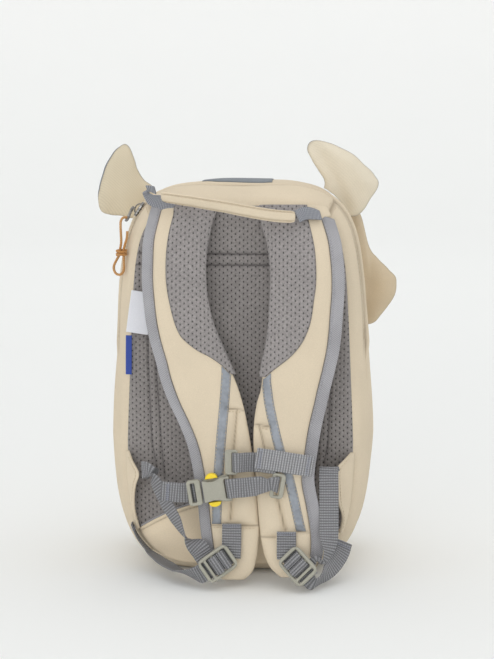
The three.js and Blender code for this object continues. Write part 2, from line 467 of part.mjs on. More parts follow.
// Webbing from the wing, folded behind the lock, up through it, over its middle bar, back out and away as a tail.
const FOLD = { left: [[-17, -6.6], [-10, -6.4], [-4, -6.3]], right: [[-13, -6.6], [-8, -6.4], [-3, -6.3]] };
function adjuster(side) {
  const f = LOCK_FRAME[side], s = side === "left" ? f.w.clone().negate() : f.w;
  const through = [[13.4, -3.2], [11, -3.1], [7.4, -3.05], [4.8, -1.7], [4.1, 1.2], [2.6, 2.9], [-0.4, 2.85], [-1.5, 1.2], [-1.45, -1.7], [1.3, -4.7], [8, -5.6], [16.5, -6.6]];
  const fold = FOLD[side].map(([w, n]) => row(f.point(5.2, n, w), f.l));
  return joined(band([...ADJUSTER[side], ...fold], WEB, WEB_THICK, 60), band([...through.map(([l, n]) => row(f.point(l, n), s)), ...TAIL[side]], WEB, WEB_THICK, 90));
}
function wing(side) {
  const sign = side === "left" ? -1 : 1, rows = WING[side], z0 = rows[0].z, z1 = rows[rows.length - 1].z;
  const P = (u, k) => {
    const z = mix(z0, z1, k), w = at(rows, "z", z), x = seamHalf(z);
    return V(sign * (x - w.inward * u), BACK_Y - GAP - PANEL_EDGE - 2 - (PANEL_CROWN * 0.4 + w.forward) * u, z);
  };
  return layer(P, 2, 10, () => -1.1, () => 1.1, facing);
}

// ---- chest strap -----------------------------------------------------------------------
const BUCKLE = frameOf([-20.7, -111, 77.7], [34, 0, 5.5], [-5.5, 0, 34]);
function buckleBody() {
  const s = new THREE.Shape();
  s.moveTo(-6, -8.6).lineTo(-3.4, -10.4).quadraticCurveTo(2, -8.2, 8, -9.6).quadraticCurveTo(13, -10.8, 17.2, -9.2);
  s.lineTo(17.2, 9.2).quadraticCurveTo(13, 10.8, 8, 9.6).quadraticCurveTo(2, 8.2, -3.4, 10.4).lineTo(-6, 8.6).lineTo(-6, -8.6);
  s.holes.push(roundedShape(11.6, 15, -8, 8, 0.6, new THREE.Path()));
  return plate(s, -4, 4, BUCKLE);
}
function bucklePlug() {
  const s = roundedShape(-17.4, -6.5, -10, 10, 2);
  s.holes.push(roundedShape(-14.8, -10.8, -8, 8, 0.6, new THREE.Path()));
  return plate(s, -2.2, 2.2, BUCKLE);
}
const buckleTab = (sign) => plate(roundedShape(-1.4, 6.6, sign > 0 ? 10.2 : -12.4, sign > 0 ? 12.4 : -10.2, 0.8), -2, 2, BUCKLE);
const hook = (f, list) => list.map(([l, n]) => row(f.point(l, n), f.w));
const STERNUM_LOWER_END = table("x y z sx sy sz", [[6, -114.6, 81, -0.1, 0, 1], [16, -114, 82, -0.05, 0, 1], [24, -113.6, 82, 0, 0, 1]]);
const STERNUM_TAIL_END = table("x y z sx sy sz", [[-44, -107.6, 74.8, -0.08, 0, 1], [-51, -107.8, 75.4, -0.04, 0, 1], [-59, -107.6, 76, 0, 0, 1]]);
const STERNUM_UPPER_END = table("x y z sx sy sz", [[9, -108.4, 99.6, 0, 0, 1], [20, -107, 99, 0, 0, 1], [32, -106.8, 98, -0.05, 0, 1]]);
const STERNUM_FLAP = table("x y z sx sy sz", [[14.8, -112, 103.6, 0.1, 0, 1], [26, -110.6, 101.8, 0.1, 0, 1], [44, -109.4, 98.8, 0.1, 0, 1], [58.5, -107.6, 96.4, 0.08, 0, 1]]);
const SLIDER_FRAMES = { left: frameOf([-2.8, -110, 99.8], [1, 0, 0.02], [0, 0, 1]), right: frameOf([31.2, -110.2, 81.6], [1, 0, -0.16], [0, 0, 1]) };
function webSlider(f, from, to, hole) {
  const s = roundedShape(from, to, -9.8, 9.8, 2.2);
  s.holes.push(roundedShape(hole[0], hole[1], -8.1, 8.1, 0.5, new THREE.Path()));
  return plate(s, -1.6, 1.6, f);
}

// ---- soft outlines ------------------------------------------------------------------------
function reachAt(rows, deg) {
  const first = rows[0], turn = [...rows.map((r) => ({ ...r })), { deg: first.deg + 360, reach: first.reach }];
  const d = deg < first.deg ? deg + 360 : deg >= first.deg + 360 ? deg - 360 : deg;
  const i = turn.findIndex((r, k) => k < turn.length - 1 && d >= r.deg && d <= turn[k + 1].deg), a = turn[i], b = turn[i + 1], t = (d - a.deg) / (b.deg - a.deg);
  return mix(a.reach, b.reach, t * t * (3 - 2 * t) * 0.5 + t * 0.5);
}
// A padded leaf round a centre: its face swells from the rim to the middle on one side or on both.
function leaf(rows, centre, cup, front, back, rim, columns = 26) {
  const shares = [1, 0.9, 0.7, 0.4];
  const mid = (deg, share) => {
    const a = (deg * Math.PI) / 180, r = reachAt(rows, deg) * share, x = r * Math.cos(a), z = r * Math.sin(a);
    return V(centre[0] + x, centre[1] + cup(x, z), centre[2] + z);
  };
  const swell = (share, depth) => rim + depth * Math.sqrt(Math.max(1 - share ** 2.4, 0));
  const degs = range(columns).slice(0, -1).map((k) => k * 360);
  const face = (depth, sign) => shares.map((s) => degs.map((d) => mid(d, s).add(V(0, sign * swell(s, depth), 0))));
  const top = front === null ? shares.map((s) => degs.map((d) => mid(d, s).add(V(0, GAP / 2, 0)))) : face(front, -1);
  const low = back === null ? shares.map((s) => degs.map((d) => mid(d, s).add(V(0, -GAP / 2, 0)))) : face(back, 1);
  const o = V(...centre);
  const end = (depth, sign, flat) => o.clone().add(V(0, depth === null ? flat : sign * (rim + depth), 0));
  return gridSolid(top, low, true, [end(front, -1, GAP / 2), end(back, 1, -GAP / 2)]);
}
const EAR_CENTRE = { left: [-100, 12, 305], right: [82, 12, 312] };
const earCup = (x, z) => 0.006 * (x * x + z * z) * 0.6;
const LOBE_CENTRE = [104, 45, 222];

// ---- assembly -----------------------------------------------------------------------------
const wasm = await Module();
wasm.setup();
const solidOf = (g) => {
  const m = new wasm.Mesh({ numProp: 3, vertProperties: new Float32Array(g.getAttribute("position").array), triVerts: new Uint32Array(g.index.array) });
  m.merge();
  return new wasm.Manifold(m);
};
const geometryOf = (solid) => {
  const m = solid.getMesh(), points = [];
  for (let i = 0; i < m.numVert; i++) points.push(V(m.vertProperties[i * m.numProp], m.vertProperties[i * m.numProp + 1], m.vertProperties[i * m.numProp + 2]));
  return geometry(points, Array.from(m.triVerts));
};
const BLOCK = solidOf(bagBlock());
function joined(a, b) {
  return geometryOf(solidOf(a).add(solidOf(b)));
}
const sewnOn = (g) => {
  const pieces = solidOf(g).subtract(BLOCK).decompose();
  return geometryOf(pieces.sort((a, b) => b.volume() - a.volume())[0]);
};

const group = new THREE.Group();
group.name = "plush_backpack";
function add(name, g, colour, roughness = 0.9, metalness = 0) {
  g.computeVertexNormals();
  const mesh = new THREE.Mesh(g, new THREE.MeshStandardMaterial({ color: colour, roughness, metalness, flatShading: false }));
  mesh.name = name;
  group.add(mesh);
}

add("back_panel", backPanel(), COLOUR.mesh);
add("lower_panel", lowerPanel(), COLOUR.beige);
add("rear_gusset", joined(rearGusset(), gussetFlap()), COLOUR.beige);
add("front_shell", frontShell(), COLOUR.beige);
add("crown_patch", crownPatch(), COLOUR.grey);

add("zipper_tape", zipBand([ZIP_REAR - 4, ZIP_REAR, ZIP_FRONT, ZIP_FRONT + 4], -WALL - 2.2 * GAP - TAPE, -WALL - 2.2 * GAP, -1), COLOUR.tape);
add("zipper_teeth", zipBand([ZIP_REAR + 1.6, ZIP_FRONT - 1.6], -WALL, -0.6, 0), COLOUR.metal, 0.4, 0.6);
{
  const { p, along, out } = SLIDER;
  const f = { point: (a, b, c = 0) => p.clone().addScaledVector(along, a).addScaledVector(out, b).add(V(0, c, 0)) };
  add("zipper_slider", plate(roundedShape(-6.5, 6.5, -4.4, 4.4, 2.2), GAP, 4.2, f), COLOUR.metal, 0.35, 0.8);
  const top = f.point(1, 6.4, -4.6), foot = V(...PULL_FOOT);
  const g = frameOf([(top.x + foot.x) / 2, (top.y + foot.y) / 2, (top.z + foot.z) / 2], [foot.x - top.x, foot.y - top.y, foot.z - top.z], [0.6, -0.5, 0.6]);
  const reach = top.distanceTo(foot) / 2;
  const shape = roundedShape(-reach, reach, -3, 3, 1.4);
  shape.holes.push(roundedShape(reach - 4.4, reach - 1, -1.7, 1.7, 0.5, new THREE.Path()));
  add("zipper_pull", plate(shape, -0.8, 0.8, g), COLOUR.metal, 0.35, 0.8);
}
{
  const path = new THREE.CatmullRomCurve3(CORD.map((r) => V(r.x, r.y, r.z)), false, "centripetal");
  const round = new THREE.Shape();
  range(8).slice(0, -1).forEach((k, i) => {
    const x = CORD_RADIUS * Math.cos(2 * Math.PI * k), y = CORD_RADIUS * Math.sin(2 * Math.PI * k);
    if (i) round.lineTo(x, y);
    else round.moveTo(x, y);
  });
  round.closePath();
  add("pull_cord", new THREE.ExtrudeGeometry(round, { steps: 30, extrudePath: path, bevelEnabled: false }), COLOUR.orange);
  const h = KNOT.height / 2, profile = [[KNOT.hole, -h], [KNOT.outer - 0.4, -h], [KNOT.outer, -h * 0.5], [KNOT.outer, h * 0.5], [KNOT.outer - 0.4, h], [KNOT.hole, h], [KNOT.hole, -h]];
  const knot = new THREE.LatheGeometry(profile.map(([r, y]) => new THREE.Vector2(r, y)), 10);
  knot.rotateX(Math.PI / 2).translate(KNOT.x, KNOT.y, KNOT.z);
  add("cord_knot", knot, COLOUR.orange);
}

for (const side of ["left", "right"]) {
  const c = EAR_CENTRE[side];
  add("ear_" + side, sewnOn(leaf(EAR_OUTLINE[side], c, earCup, 5.5, null, 1.1)), COLOUR.beige);
  add("ear_" + side + "_lining", sewnOn(leaf(EAR_OUTLINE[side], c, earCup, null, 3, 1)), COLOUR.grey);
}
add("side_lobe", sewnOn(leaf(LOBE_OUTLINE, LOBE_CENTRE, () => 0, 13, 13, 1.4)), COLOUR.beige);

add("handle", band(HANDLE, 9.5, 4.2, 28), COLOUR.beige);
add("handle_tab_left", band(HANDLE_TABS.left, 11, WEB_THICK, 20), COLOUR.web);
add("handle_tab_right", band(HANDLE_TABS.right, 12, WEB_THICK, 10), COLOUR.web);

for (const side of ["left", "right"]) {
  const f = LOCK_FRAME[side];
  add("wing_" + side, wing(side), COLOUR.beige);
  add("strap_" + side + "_pad", strapPad(side), COLOUR.beige);
  add("strap_" + side + "_mesh", strapMesh(side), COLOUR.mesh);
  add("strap_" + side + "_binding", strapBinding(side), COLOUR.twill);
  add("strap_" + side + "_reflector", strapReflector(side), COLOUR.reflector, 0.5);
  add("strap_" + side + "_tab", strapTab(side), COLOUR.web);
  add("ladder_lock_" + side, ladderLock(f), COLOUR.plastic, 0.45);
  add("adjuster_" + side, adjuster(side), COLOUR.web);
}

add("buckle_body", buckleBody(), COLOUR.plastic, 0.45);
add("buckle_plug", bucklePlug(), COLOUR.plastic, 0.45);
add("buckle_tab_top", buckleTab(1), COLOUR.yellow, 0.45);
add("buckle_tab_bottom", buckleTab(-1), COLOUR.yellow, 0.45);
add("sternum_lower", band([...hook(BUCKLE, [[13.2, -2.4], [13.4, 2.4], [14.6, 5.2], [18.4, 5.4]]), ...STERNUM_LOWER_END, ...hook(SLIDER_FRAMES.right, [[-4.6, 2.9], [-1.2, 2.4], [0.6, 0], [0.4, -3.4]])], WEB + 0.2, WEB_THICK, 48), COLOUR.web);
add("sternum_tail", band([...hook(BUCKLE, [[-8.4, -3.8], [-10.2, -3.6], [-12.8, -2.5], [-15.4, -3.6], [-18, -3.9]]), ...STERNUM_TAIL_END], WEB + 0.2, WEB_THICK, 40), COLOUR.web);
add("sternum_upper", band([...hook(SLIDER_FRAMES.left, [[-0.2, -2.6], [0, 0], [0.8, 2.7], [4, 2.9]]), ...STERNUM_UPPER_END], WEB + 0.2, WEB_THICK, 36), COLOUR.web);
add("sternum_flap", band(STERNUM_FLAP, WEB + 1.4, 2.4, 12), COLOUR.web);
add("sternum_slider_left", webSlider(SLIDER_FRAMES.left, -6.4, 3.8, [-1.5, 1.9]), COLOUR.plastic, 0.45);
add("sternum_slider_right", webSlider(SLIDER_FRAMES.right, -5, 5.6, [-2.4, 2.6]), COLOUR.plastic, 0.45);

const LABELS = {
  white: table("x y z sx sy sz", [[-76.4, -67.4, 226.5, 0.97, -0.06, -0.22], [-78.8, -67.8, 210, 0.97, -0.06, -0.22], [-80.9, -68, 193.5, 0.97, -0.06, -0.22]]),
  blue: table("x y z sx sy sz", [[-87.6, -66, 191.6, 1, 0, 0], [-87.8, -66.2, 176, 1, 0, 0], [-88, -66, 160.4, 1, 0, 0]]),
};
add("label_white", band(LABELS.white, 17.5, 0.6, 6), COLOUR.white);
add("label_blue", band(LABELS.blue, 4.8, 0.8, 6), COLOUR.blue);

export default group;
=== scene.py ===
import math

import bmesh
import bpy
import numpy as np
from mathutils import Matrix, Vector
from mathutils.bvhtree import BVHTree


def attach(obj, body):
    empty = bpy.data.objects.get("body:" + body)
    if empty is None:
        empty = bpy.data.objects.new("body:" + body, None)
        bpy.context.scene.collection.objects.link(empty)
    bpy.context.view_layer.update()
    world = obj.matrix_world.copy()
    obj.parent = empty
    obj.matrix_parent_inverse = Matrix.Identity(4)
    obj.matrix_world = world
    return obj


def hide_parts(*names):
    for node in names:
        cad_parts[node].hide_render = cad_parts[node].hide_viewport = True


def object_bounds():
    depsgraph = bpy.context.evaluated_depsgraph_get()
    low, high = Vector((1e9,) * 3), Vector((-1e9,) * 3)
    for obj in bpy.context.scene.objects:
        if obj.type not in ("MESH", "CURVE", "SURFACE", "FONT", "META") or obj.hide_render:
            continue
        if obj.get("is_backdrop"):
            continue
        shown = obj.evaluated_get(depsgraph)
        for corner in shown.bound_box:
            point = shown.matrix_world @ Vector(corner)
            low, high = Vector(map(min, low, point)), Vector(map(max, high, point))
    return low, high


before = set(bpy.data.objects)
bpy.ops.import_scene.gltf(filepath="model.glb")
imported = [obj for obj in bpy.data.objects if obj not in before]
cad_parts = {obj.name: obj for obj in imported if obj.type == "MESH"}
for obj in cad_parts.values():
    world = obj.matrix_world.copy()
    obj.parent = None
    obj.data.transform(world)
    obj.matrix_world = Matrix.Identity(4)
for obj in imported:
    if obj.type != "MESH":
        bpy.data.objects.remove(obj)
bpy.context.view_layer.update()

MM = 0.001
SCENE = bpy.context.scene
TAU = 2 * math.pi

# ---- camera -----------------------------------------------------------------
# The picture is 494 x 659, so the sensor's 36 mm lie along its height.
AZIMUTH, ELEVATION, DISTANCE, FOCUS_PX = math.radians(2.7), math.radians(8.0), 1.4, 1772.0
TARGET = Vector((0.0055, -0.060, 0.196))
BACK = Vector((math.sin(AZIMUTH) * math.cos(ELEVATION), -math.cos(AZIMUTH) * math.cos(ELEVATION), math.sin(ELEVATION)))
camera_data = bpy.data.cameras.new("camera")
camera_data.sensor_width = 36.0
camera_data.lens = FOCUS_PX * 36.0 / 659.0
camera = bpy.data.objects.new("camera", camera_data)
SCENE.collection.objects.link(camera)
camera.location = TARGET + BACK * DISTANCE
camera.rotation_euler = (-BACK).to_track_quat("-Z", "Y").to_euler()
SCENE.camera = camera
SCENE.view_settings.view_transform = "Standard"
SCENE.view_settings.look = "None"


# ---- numbers along tables ----------------------------------------------------
class Table:
    """Rows of named columns; the first column is the key that the others are read along."""

    def __init__(self, columns, rows):
        self.names = columns.split()
        a = np.array(rows, float)
        self.a = a if a[-1, 0] > a[0, 0] else a[::-1]

    def at(self, key):
        a, k = self.a, self.a[:, 0]
        v = np.clip(np.asarray(key, float), k[0], k[-1])
        i = np.clip(np.searchsorted(k, v, side="left") - 1, 0, len(k) - 2)
        p, q, before, after = a[i], a[i + 1], a[np.maximum(i - 1, 0)], a[np.minimum(i + 2, len(k) - 1)]
        h = (q[..., :1] - p[..., :1])
        t = (v[..., None] - p[..., :1]) / h
        m0 = (q - before) / (q[..., :1] - before[..., :1]) * h
        m1 = (after - p) / (after[..., :1] - p[..., :1]) * h
        return p * (2 * t**3 - 3 * t * t + 1) + m0 * (t**3 - 2 * t * t + t) + q * (3 * t * t - 2 * t**3) + m1 * (t**3 - t * t)

    def get(self, name, key):
        return self.at(key)[..., self.names.index(name)]


def mix(a, b, t):
    return a + (b - a) * t


def smooth(a, b, x):
    t = np.clip((np.asarray(x, float) - a) / (b - a), 0, 1)
    return t * t * (3 - 2 * t)


def unit(v):
    return v / np.maximum(np.linalg.norm(v, axis=-1, keepdims=True), 1e-12)


def waves(p, length, seed, count=7):
    """Smooth random hills between about -1 and 1 over points p, about length apart."""
    r = np.random.default_rng(seed)
    total = np.zeros(p.shape[:-1])
    for _ in range(count):
        d = unit(r.normal(size=p.shape[-1]))
        total += np.sin(p @ d * (TAU / length) * r.uniform(0.6, 1.5) + r.uniform(0, TAU))
    return total / math.sqrt(count)


def spline(points, t):
    """Centripetal curve through points, t from 0 to 1 with equal shares between rows."""
    P = np.asarray(points, float)
    P = np.vstack([2 * P[0] - P[1], P, 2 * P[-1] - P[-2]])
    n = len(P) - 3
    f = np.clip(np.asarray(t, float) * n, 0, n - 1e-9)
    i = f.astype(int)
    w = (f - i)[:, None]
    p0, p1, p2, p3 = P[i], P[i + 1], P[i + 2], P[i + 3]
    d = lambda a, b: np.maximum(((a - b) ** 2).sum(1) ** 0.25, 1e-4)[:, None]
    d0, d1, d2 = d(p0, p1), d(p1, p2), d(p2, p3)
    t1 = ((p1 - p0) / d0 - (p2 - p0) / (d0 + d1) + (p2 - p1) / d1) * d1
    t2 = ((p2 - p1) / d1 - (p3 - p1) / (d1 + d2) + (p3 - p2) / d2) * d1
    return p1 + t1 * w + (-3 * p1 + 3 * p2 - 2 * t1 - t2) * w**2 + (2 * p1 - 2 * p2 + t1 + t2) * w**3


def gap_to(line, x, z):
    """Distance in the x-z plane from points to a polyline."""
    best = np.full(np.broadcast(x, z).shape, 1e9)
    for (x0, z0), (x1, z1) in zip(line[:-1], line[1:]):
        dx, dz = x1 - x0, z1 - z0
        t = np.clip(((x - x0) * dx + (z - z0) * dz) / (dx * dx + dz * dz), 0, 1)
        best = np.minimum(best, np.hypot(x - x0 - t * dx, z - z0 - t * dz))
    return best


# ---- meshes -------------------------------------------------------------------
def build(name, verts, faces, uv=None, materials=(), seam=None, slots=None, smooth_shade=True):
    """A mesh object from points in mm; faces is a list of index arrays with 3 or 4 columns."""
    verts = np.asarray(verts, float).reshape(-1, 3)
    faces = [np.asarray(f, np.int32) for f in faces if len(f)]
    volume = 0.0
    for f in faces:
        for k in range(1, f.shape[1] - 1):
            volume += np.einsum("ij,ij->", verts[f[:, 0]], np.cross(verts[f[:, k]], verts[f[:, k + 1]]))
    if volume < 0:
        faces = [f[:, ::-1] for f in faces]
    index = np.concatenate([f.ravel() for f in faces])
    sizes = np.concatenate([np.full(len(f), f.shape[1], np.int32) for f in faces])
    me = bpy.data.meshes.new(name)
    me.vertices.add(len(verts))
    me.vertices.foreach_set("co", (verts * MM).astype(np.float32).ravel())
    me.loops.add(len(index))
    me.loops.foreach_set("vertex_index", index)
    me.polygons.add(len(sizes))
    me.polygons.foreach_set("loop_start", np.concatenate([[0], np.cumsum(sizes)[:-1]]).astype(np.int32))
    me.polygons.foreach_set("use_smooth", np.full(len(sizes), smooth_shade))
    if slots is not None:
        me.polygons.foreach_set("material_index", np.concatenate(slots).astype(np.int32))
    me.update(calc_edges=True)
    me.validate()
    if uv is not None:
        layer = me.uv_layers.new(name="mm")
        layer.data.foreach_set("uv", np.asarray(uv, np.float32).reshape(-1, 2)[index].ravel())
    if seam is not None:
        attribute = me.attributes.new("seam", "FLOAT", "POINT")
        attribute.data.foreach_set("value", np.asarray(seam, np.float32).ravel())
    for m in materials:
        me.materials.append(m)
    o = bpy.data.objects.new(name, me)
    SCENE.collection.objects.link(o)
    return o


def piece(o, slot, *nodes):
    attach(o, "root")
    if nodes:
        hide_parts(*nodes)
    return o


def grid_faces(rows, columns, ring=False, start=0):
    i, j = np.meshgrid(np.arange(rows - 1), np.arange(columns if ring else columns - 1), indexing="ij")
    k = (j + 1) % columns
    return start + np.stack([i * columns + j, i * columns + k, (i + 1) * columns + k, (i + 1) * columns + j], -1).reshape(-1, 4)


def rim_of(rows, columns):
    top = np.arange(columns)
    right = np.arange(1, rows) * columns + columns - 1
    low = (rows - 1) * columns + np.arange(columns - 2, -1, -1)
    left = np.arange(rows - 2, 0, -1) * columns
    return np.concatenate([top, right, low, left])


def slab(front, back, ring=False):
    """Closed solid between two grids of points of the same size: verts, faces."""
    rows, columns = front.shape[:2]
    n = rows * columns
    faces = [grid_faces(rows, columns, ring), grid_faces(rows, columns, ring, n)[:, ::-1]]
    if ring:
        for base in (0, (rows - 1) * columns):
            loop = base + np.arange(columns)
            nxt = np.roll(loop, -1)
            quad = np.stack([loop, nxt, nxt + n, loop + n], 1)
            faces.append(quad[:, ::-1] if base == 0 else quad)
    else:
        loop = rim_of(rows, columns)
        nxt = np.roll(loop, -1)
        faces.append(np.stack([nxt, loop, loop + n, nxt + n], 1))
    return np.concatenate([front.reshape(-1, 3), back.reshape(-1, 3)]), faces


def normals_of(grid, towards, ring=False):
    if ring:
        du = np.roll(grid, -1, 1) - np.roll(grid, 1, 1)
    else:
        du = np.gradient(grid, axis=1)
    n = unit(np.cross(du, np.gradient(grid, axis=0)))
    flip = np.sign((n * towards).sum(-1, keepdims=True))
    return n * np.where(flip == 0, 1, flip)


def joined(parts):
    """Several (verts, faces) put together."""
    verts, faces, start = [], {}, 0
    for v, fs in parts:
        for f in fs:
            f = np.asarray(f)
            faces.setdefault(f.shape[1], []).append(f + start)
        verts.append(v)
        start += len(v)
    return np.concatenate(verts), [np.concatenate(f) for f in faces.values()]


def tube_solid(line, side, width, thick, around=10):
    """A closed round-edged rod along points, with its own width direction; capped ends."""
    d = unit(np.gradient(line, axis=0))
    s = unit(side - (side * d).sum(-1, keepdims=True) * d)
    n = np.cross(d, s)
    a = np.arange(around) / around * TAU
    width, thick = np.broadcast_to(width, len(line)), np.broadcast_to(thick, len(line))
    ring = line[:, None] + s[:, None] * (np.cos(a)[None, :, None] * width[:, None, None] / 2) + n[:, None] * (np.sin(a)[None, :, None] * thick[:, None, None] / 2)
    rows = len(line)
    verts = np.concatenate([ring.reshape(-1, 3), line[:1], line[-1:]])
    j = np.arange(around)
    k = (j + 1) % around
    first, last = rows * around, rows * around + 1
    caps = np.concatenate([np.stack([k, j, np.full(around, first)], 1), np.stack([(rows - 1) * around + j, (rows - 1) * around + k, np.full(around, last)], 1)])
    return verts, [grid_faces(rows, around, True), caps]


def stitches(name, lines, material, slot, length=2.0, gap=0.9, width=0.55, thick=0.45):
    """Short rounded stitches along lines; each line is (points, normals) in mm."""
    parts = []
    for points, normal in lines:
        points, normal = np.asarray(points, float), np.broadcast_to(np.asarray(normal, float), np.shape(points))
        run = np.concatenate([[0], np.cumsum(np.linalg.norm(np.diff(points, axis=0), axis=1))])
        for c in np.arange(length / 2 + 0.2, run[-1] - length / 2, length + gap):
            t = c + np.array([-0.5, -0.3, 0, 0.3, 0.5]) * length
            line = np.stack([np.interp(t, run, points[:, k]) for k in range(3)], 1)
            up = unit(np.array([np.interp(c, run, normal[:, k]) for k in range(3)]))
            lift = np.array([-0.25, 0.1, 0.2, 0.1, -0.25])
            line = line + up * lift[:, None]
            d = unit(line[-1] - line[0])
            side = np.broadcast_to(np.cross(d, up), line.shape)
            fat = np.array([0.45, 0.9, 1, 0.9, 0.45])
            parts.append(tube_solid(line, side, width * fat, thick * fat, 5))
    v, f = joined(parts)
    return piece(build(name, v, f, materials=[material]), slot)


# ---- materials -------------------------------------------------------------------
def srgb(r, g, b):
    c = np.array([r, g, b], float) / 255
    c = np.where(c > 0.04045, ((c + 0.055) / 1.055) ** 2.4, c / 12.92)
    return (float(c[0]), float(c[1]), float(c[2]), 1.0)


def shade(colour, k):
    return tuple(min(c * k, 1.0) for c in colour[:3]) + (1.0,)


class Finish:
    """A procedural material: small helpers round a node tree."""

    def __init__(self, name, roughness, metallic=0.0, sheen=0.0, specular=0.3):
        self.m = bpy.data.materials.new(name)
        self.m.use_nodes = True
        self.nodes, self.links = self.m.node_tree.nodes, self.m.node_tree.links
        self.shader = self.nodes["Principled BSDF"]
        self.shader.inputs["Roughness"].default_value = roughness
        self.shader.inputs["Metallic"].default_value = metallic
        self.shader.inputs["Specular IOR Level"].default_value = specular
        if sheen:
            self.shader.inputs["Sheen Weight"].default_value = sheen
            self.shader.inputs["Sheen Roughness"].default_value = 0.5

    def put(self, socket, value):
        if hasattr(value, "is_linked"):
            self.links.new(value, socket)
        else:
            socket.default_value = value

    def math(self, operation, a, b=None, c=None):
        n = self.nodes.new("ShaderNodeMath")
        n.operation = operation
        for socket, value in zip(n.inputs, (a, b, c)):
            if value is not None:
                self.put(socket, value)
        return n.outputs[0]

    def place(self):
        return self.nodes.new("ShaderNodeTexCoord").outputs["Object"]

    def uv(self):
        n = self.nodes.new("ShaderNodeUVMap")
        n.uv_map = "mm"
        s = self.nodes.new("ShaderNodeSeparateXYZ")
        self.links.new(n.outputs[0], s.inputs[0])
        return s.outputs[0], s.outputs[1]

    def noise(self, scale, detail=2.0, roughness=0.5, at=None):
        n = self.nodes.new("ShaderNodeTexNoise")
        n.inputs["Scale"].default_value = scale
        n.inputs["Detail"].default_value = detail
        n.inputs["Roughness"].default_value = roughness
        self.links.new(at or self.place(), n.inputs["Vector"])
        return n.outputs[0]

    def bands(self, scale, direction="DIAGONAL", distortion=0.0):
        n = self.nodes.new("ShaderNodeTexWave")
        n.wave_type, n.bands_direction = "BANDS", direction
        n.inputs["Scale"].default_value = scale
        n.inputs["Distortion"].default_value = distortion
        n.inputs["Detail"].default_value = 0.0
        self.links.new(self.place(), n.inputs["Vector"])
        return n.outputs[1]

    def sine(self, value, pitch):
        """0 to 1 along a value in mm, once each pitch."""
        return self.math("MULTIPLY_ADD", self.math("SINE", self.math("MULTIPLY", value, TAU / pitch)), 0.5, 0.5)

    def blend(self, factor, a, b):
        n = self.nodes.new("ShaderNodeMix")
        n.data_type = "RGBA"
        self.put(n.inputs[0], factor)
        self.put(n.inputs[6], a)
        self.put(n.inputs[7], b)
        return n.outputs[2]

    def range(self, value, low, high, to_low=0.0, to_high=1.0):
        n = self.nodes.new("ShaderNodeMapRange")
        n.interpolation_type = "SMOOTHSTEP"
        self.put(n.inputs[0], value)
        for k, x in enumerate((low, high, to_low, to_high)):
            n.inputs[k + 1].default_value = x
        return n.outputs[0]

    # the seam attribute carries dark seam lines and, on some pieces, painted shade in creases
    def seam(self):
        n = self.nodes.new("ShaderNodeAttribute")
        n.attribute_name = "seam"
        return n.outputs["Fac"]

    def colour(self, value):
        self.put(self.shader.inputs["Base Color"], value)

    def rough(self, value):
        self.put(self.shader.inputs["Roughness"], value)

    def bump(self, height, depth_mm, strength=1.0):
        n = self.nodes.new("ShaderNodeBump")
        n.inputs["Strength"].default_value = strength
        n.inputs["Distance"].default_value = depth_mm * MM
        self.put(n.inputs["Height"], height)
        self.links.new(n.outputs[0], self.shader.inputs["Normal"])


def canvas(name, rgb, twill=0.0, blotch=0.5, seam_and_crease_shade_rgb=(96, 74, 52), sheen=0.0):
    """Plain woven polyester canvas: fine linen grain, slow colour variation and, on some pieces, a diagonal rib."""
    f = Finish(name, 0.85, sheen=sheen, specular=0.25)
    c = srgb(*rgb)
    slow = f.range(f.noise(24, 3), 0.3, 0.7)
    grain = f.noise(1700, 2, 0.75)
    rib = f.bands(254, "DIAGONAL", 0.15)
    v = f.math("MULTIPLY_ADD", slow, 0.3 * blotch, f.math("MULTIPLY_ADD", rib, twill, f.math("MULTIPLY", grain, 0.85)))
    base = f.blend(f.range(v, 0.15, 0.95), shade(c, 0.88), shade(c, 1.06))
    # seams are darkened with this colour, which also paints the crease shade of the pleats on the pads
    f.colour(f.blend(f.seam(), base, srgb(*seam_and_crease_shade_rgb)))
    f.bump(f.math("MULTIPLY_ADD", rib, twill, grain), 0.12)
    return f.m


def perforated(name, rgb, dark, column=3.16, pitch=4.65, hole=0.54):
    """Air mesh: staggered round holes in a fine knit, laid out in mm."""
    f = Finish(name, 0.9, sheen=0.1, specular=0.2)
    u, v = f.uv()
    dx, dy = f.math("PINGPONG", u, column), f.math("PINGPONG", v, pitch / 2)
    ex, ey = f.math("SUBTRACT", column, dx), f.math("SUBTRACT", pitch / 2, dy)
    length = lambda a, b: f.math("SQRT", f.math("ADD", f.math("MULTIPLY", f.math("MULTIPLY", a, a), 1.5), f.math("MULTIPLY", f.math("MULTIPLY", b, b), 0.62)))
    d = f.math("MINIMUM", length(dx, dy), length(ex, ey))
    # the holes are only dents in the geometry, so their dark colour, and the darkening in the dimples round them, is
    # painted shade of their depth
    holes = f.range(d, hole * 0.55, hole * 1.35, 1.0, 0.0)
    dimple = f.range(d, 0.2, 1.7)
    sway = f.math("MULTIPLY", f.math("SINE", f.math("MULTIPLY", v, TAU / 4.65)), 0.45)
    knit = f.math("MULTIPLY", f.sine(f.math("ADD", f.math("MULTIPLY_ADD", v, 0.55, u), sway), 1.05), f.sine(v, 0.93))
    grain = f.noise(640, 3, 0.75)
    slow = f.range(f.noise(30, 2), 0.3, 0.7)
    c = srgb(*rgb)
    value = f.math("MULTIPLY_ADD", dimple, 0.22, f.math("MULTIPLY_ADD", f.range(grain, 0.3, 0.7), 0.45, f.math("MULTIPLY_ADD", knit, 0.35, f.math("MULTIPLY", slow, 0.1))))
    base = f.blend(f.range(value, 0.2, 1.0), shade(c, 0.73), shade(c, 1.17))
    # the seam colour is also painted shade: in the back panel's quilting creases and along the strap mesh's edge
    base = f.blend(f.seam(), base, srgb(82, 78, 78))
    f.colour(f.blend(holes, base, srgb(*dark)))
    f.bump(f.math("MULTIPLY_ADD", dimple, 0.8, f.math("MULTIPLY", knit, 0.45)), 0.35)
    return f.m


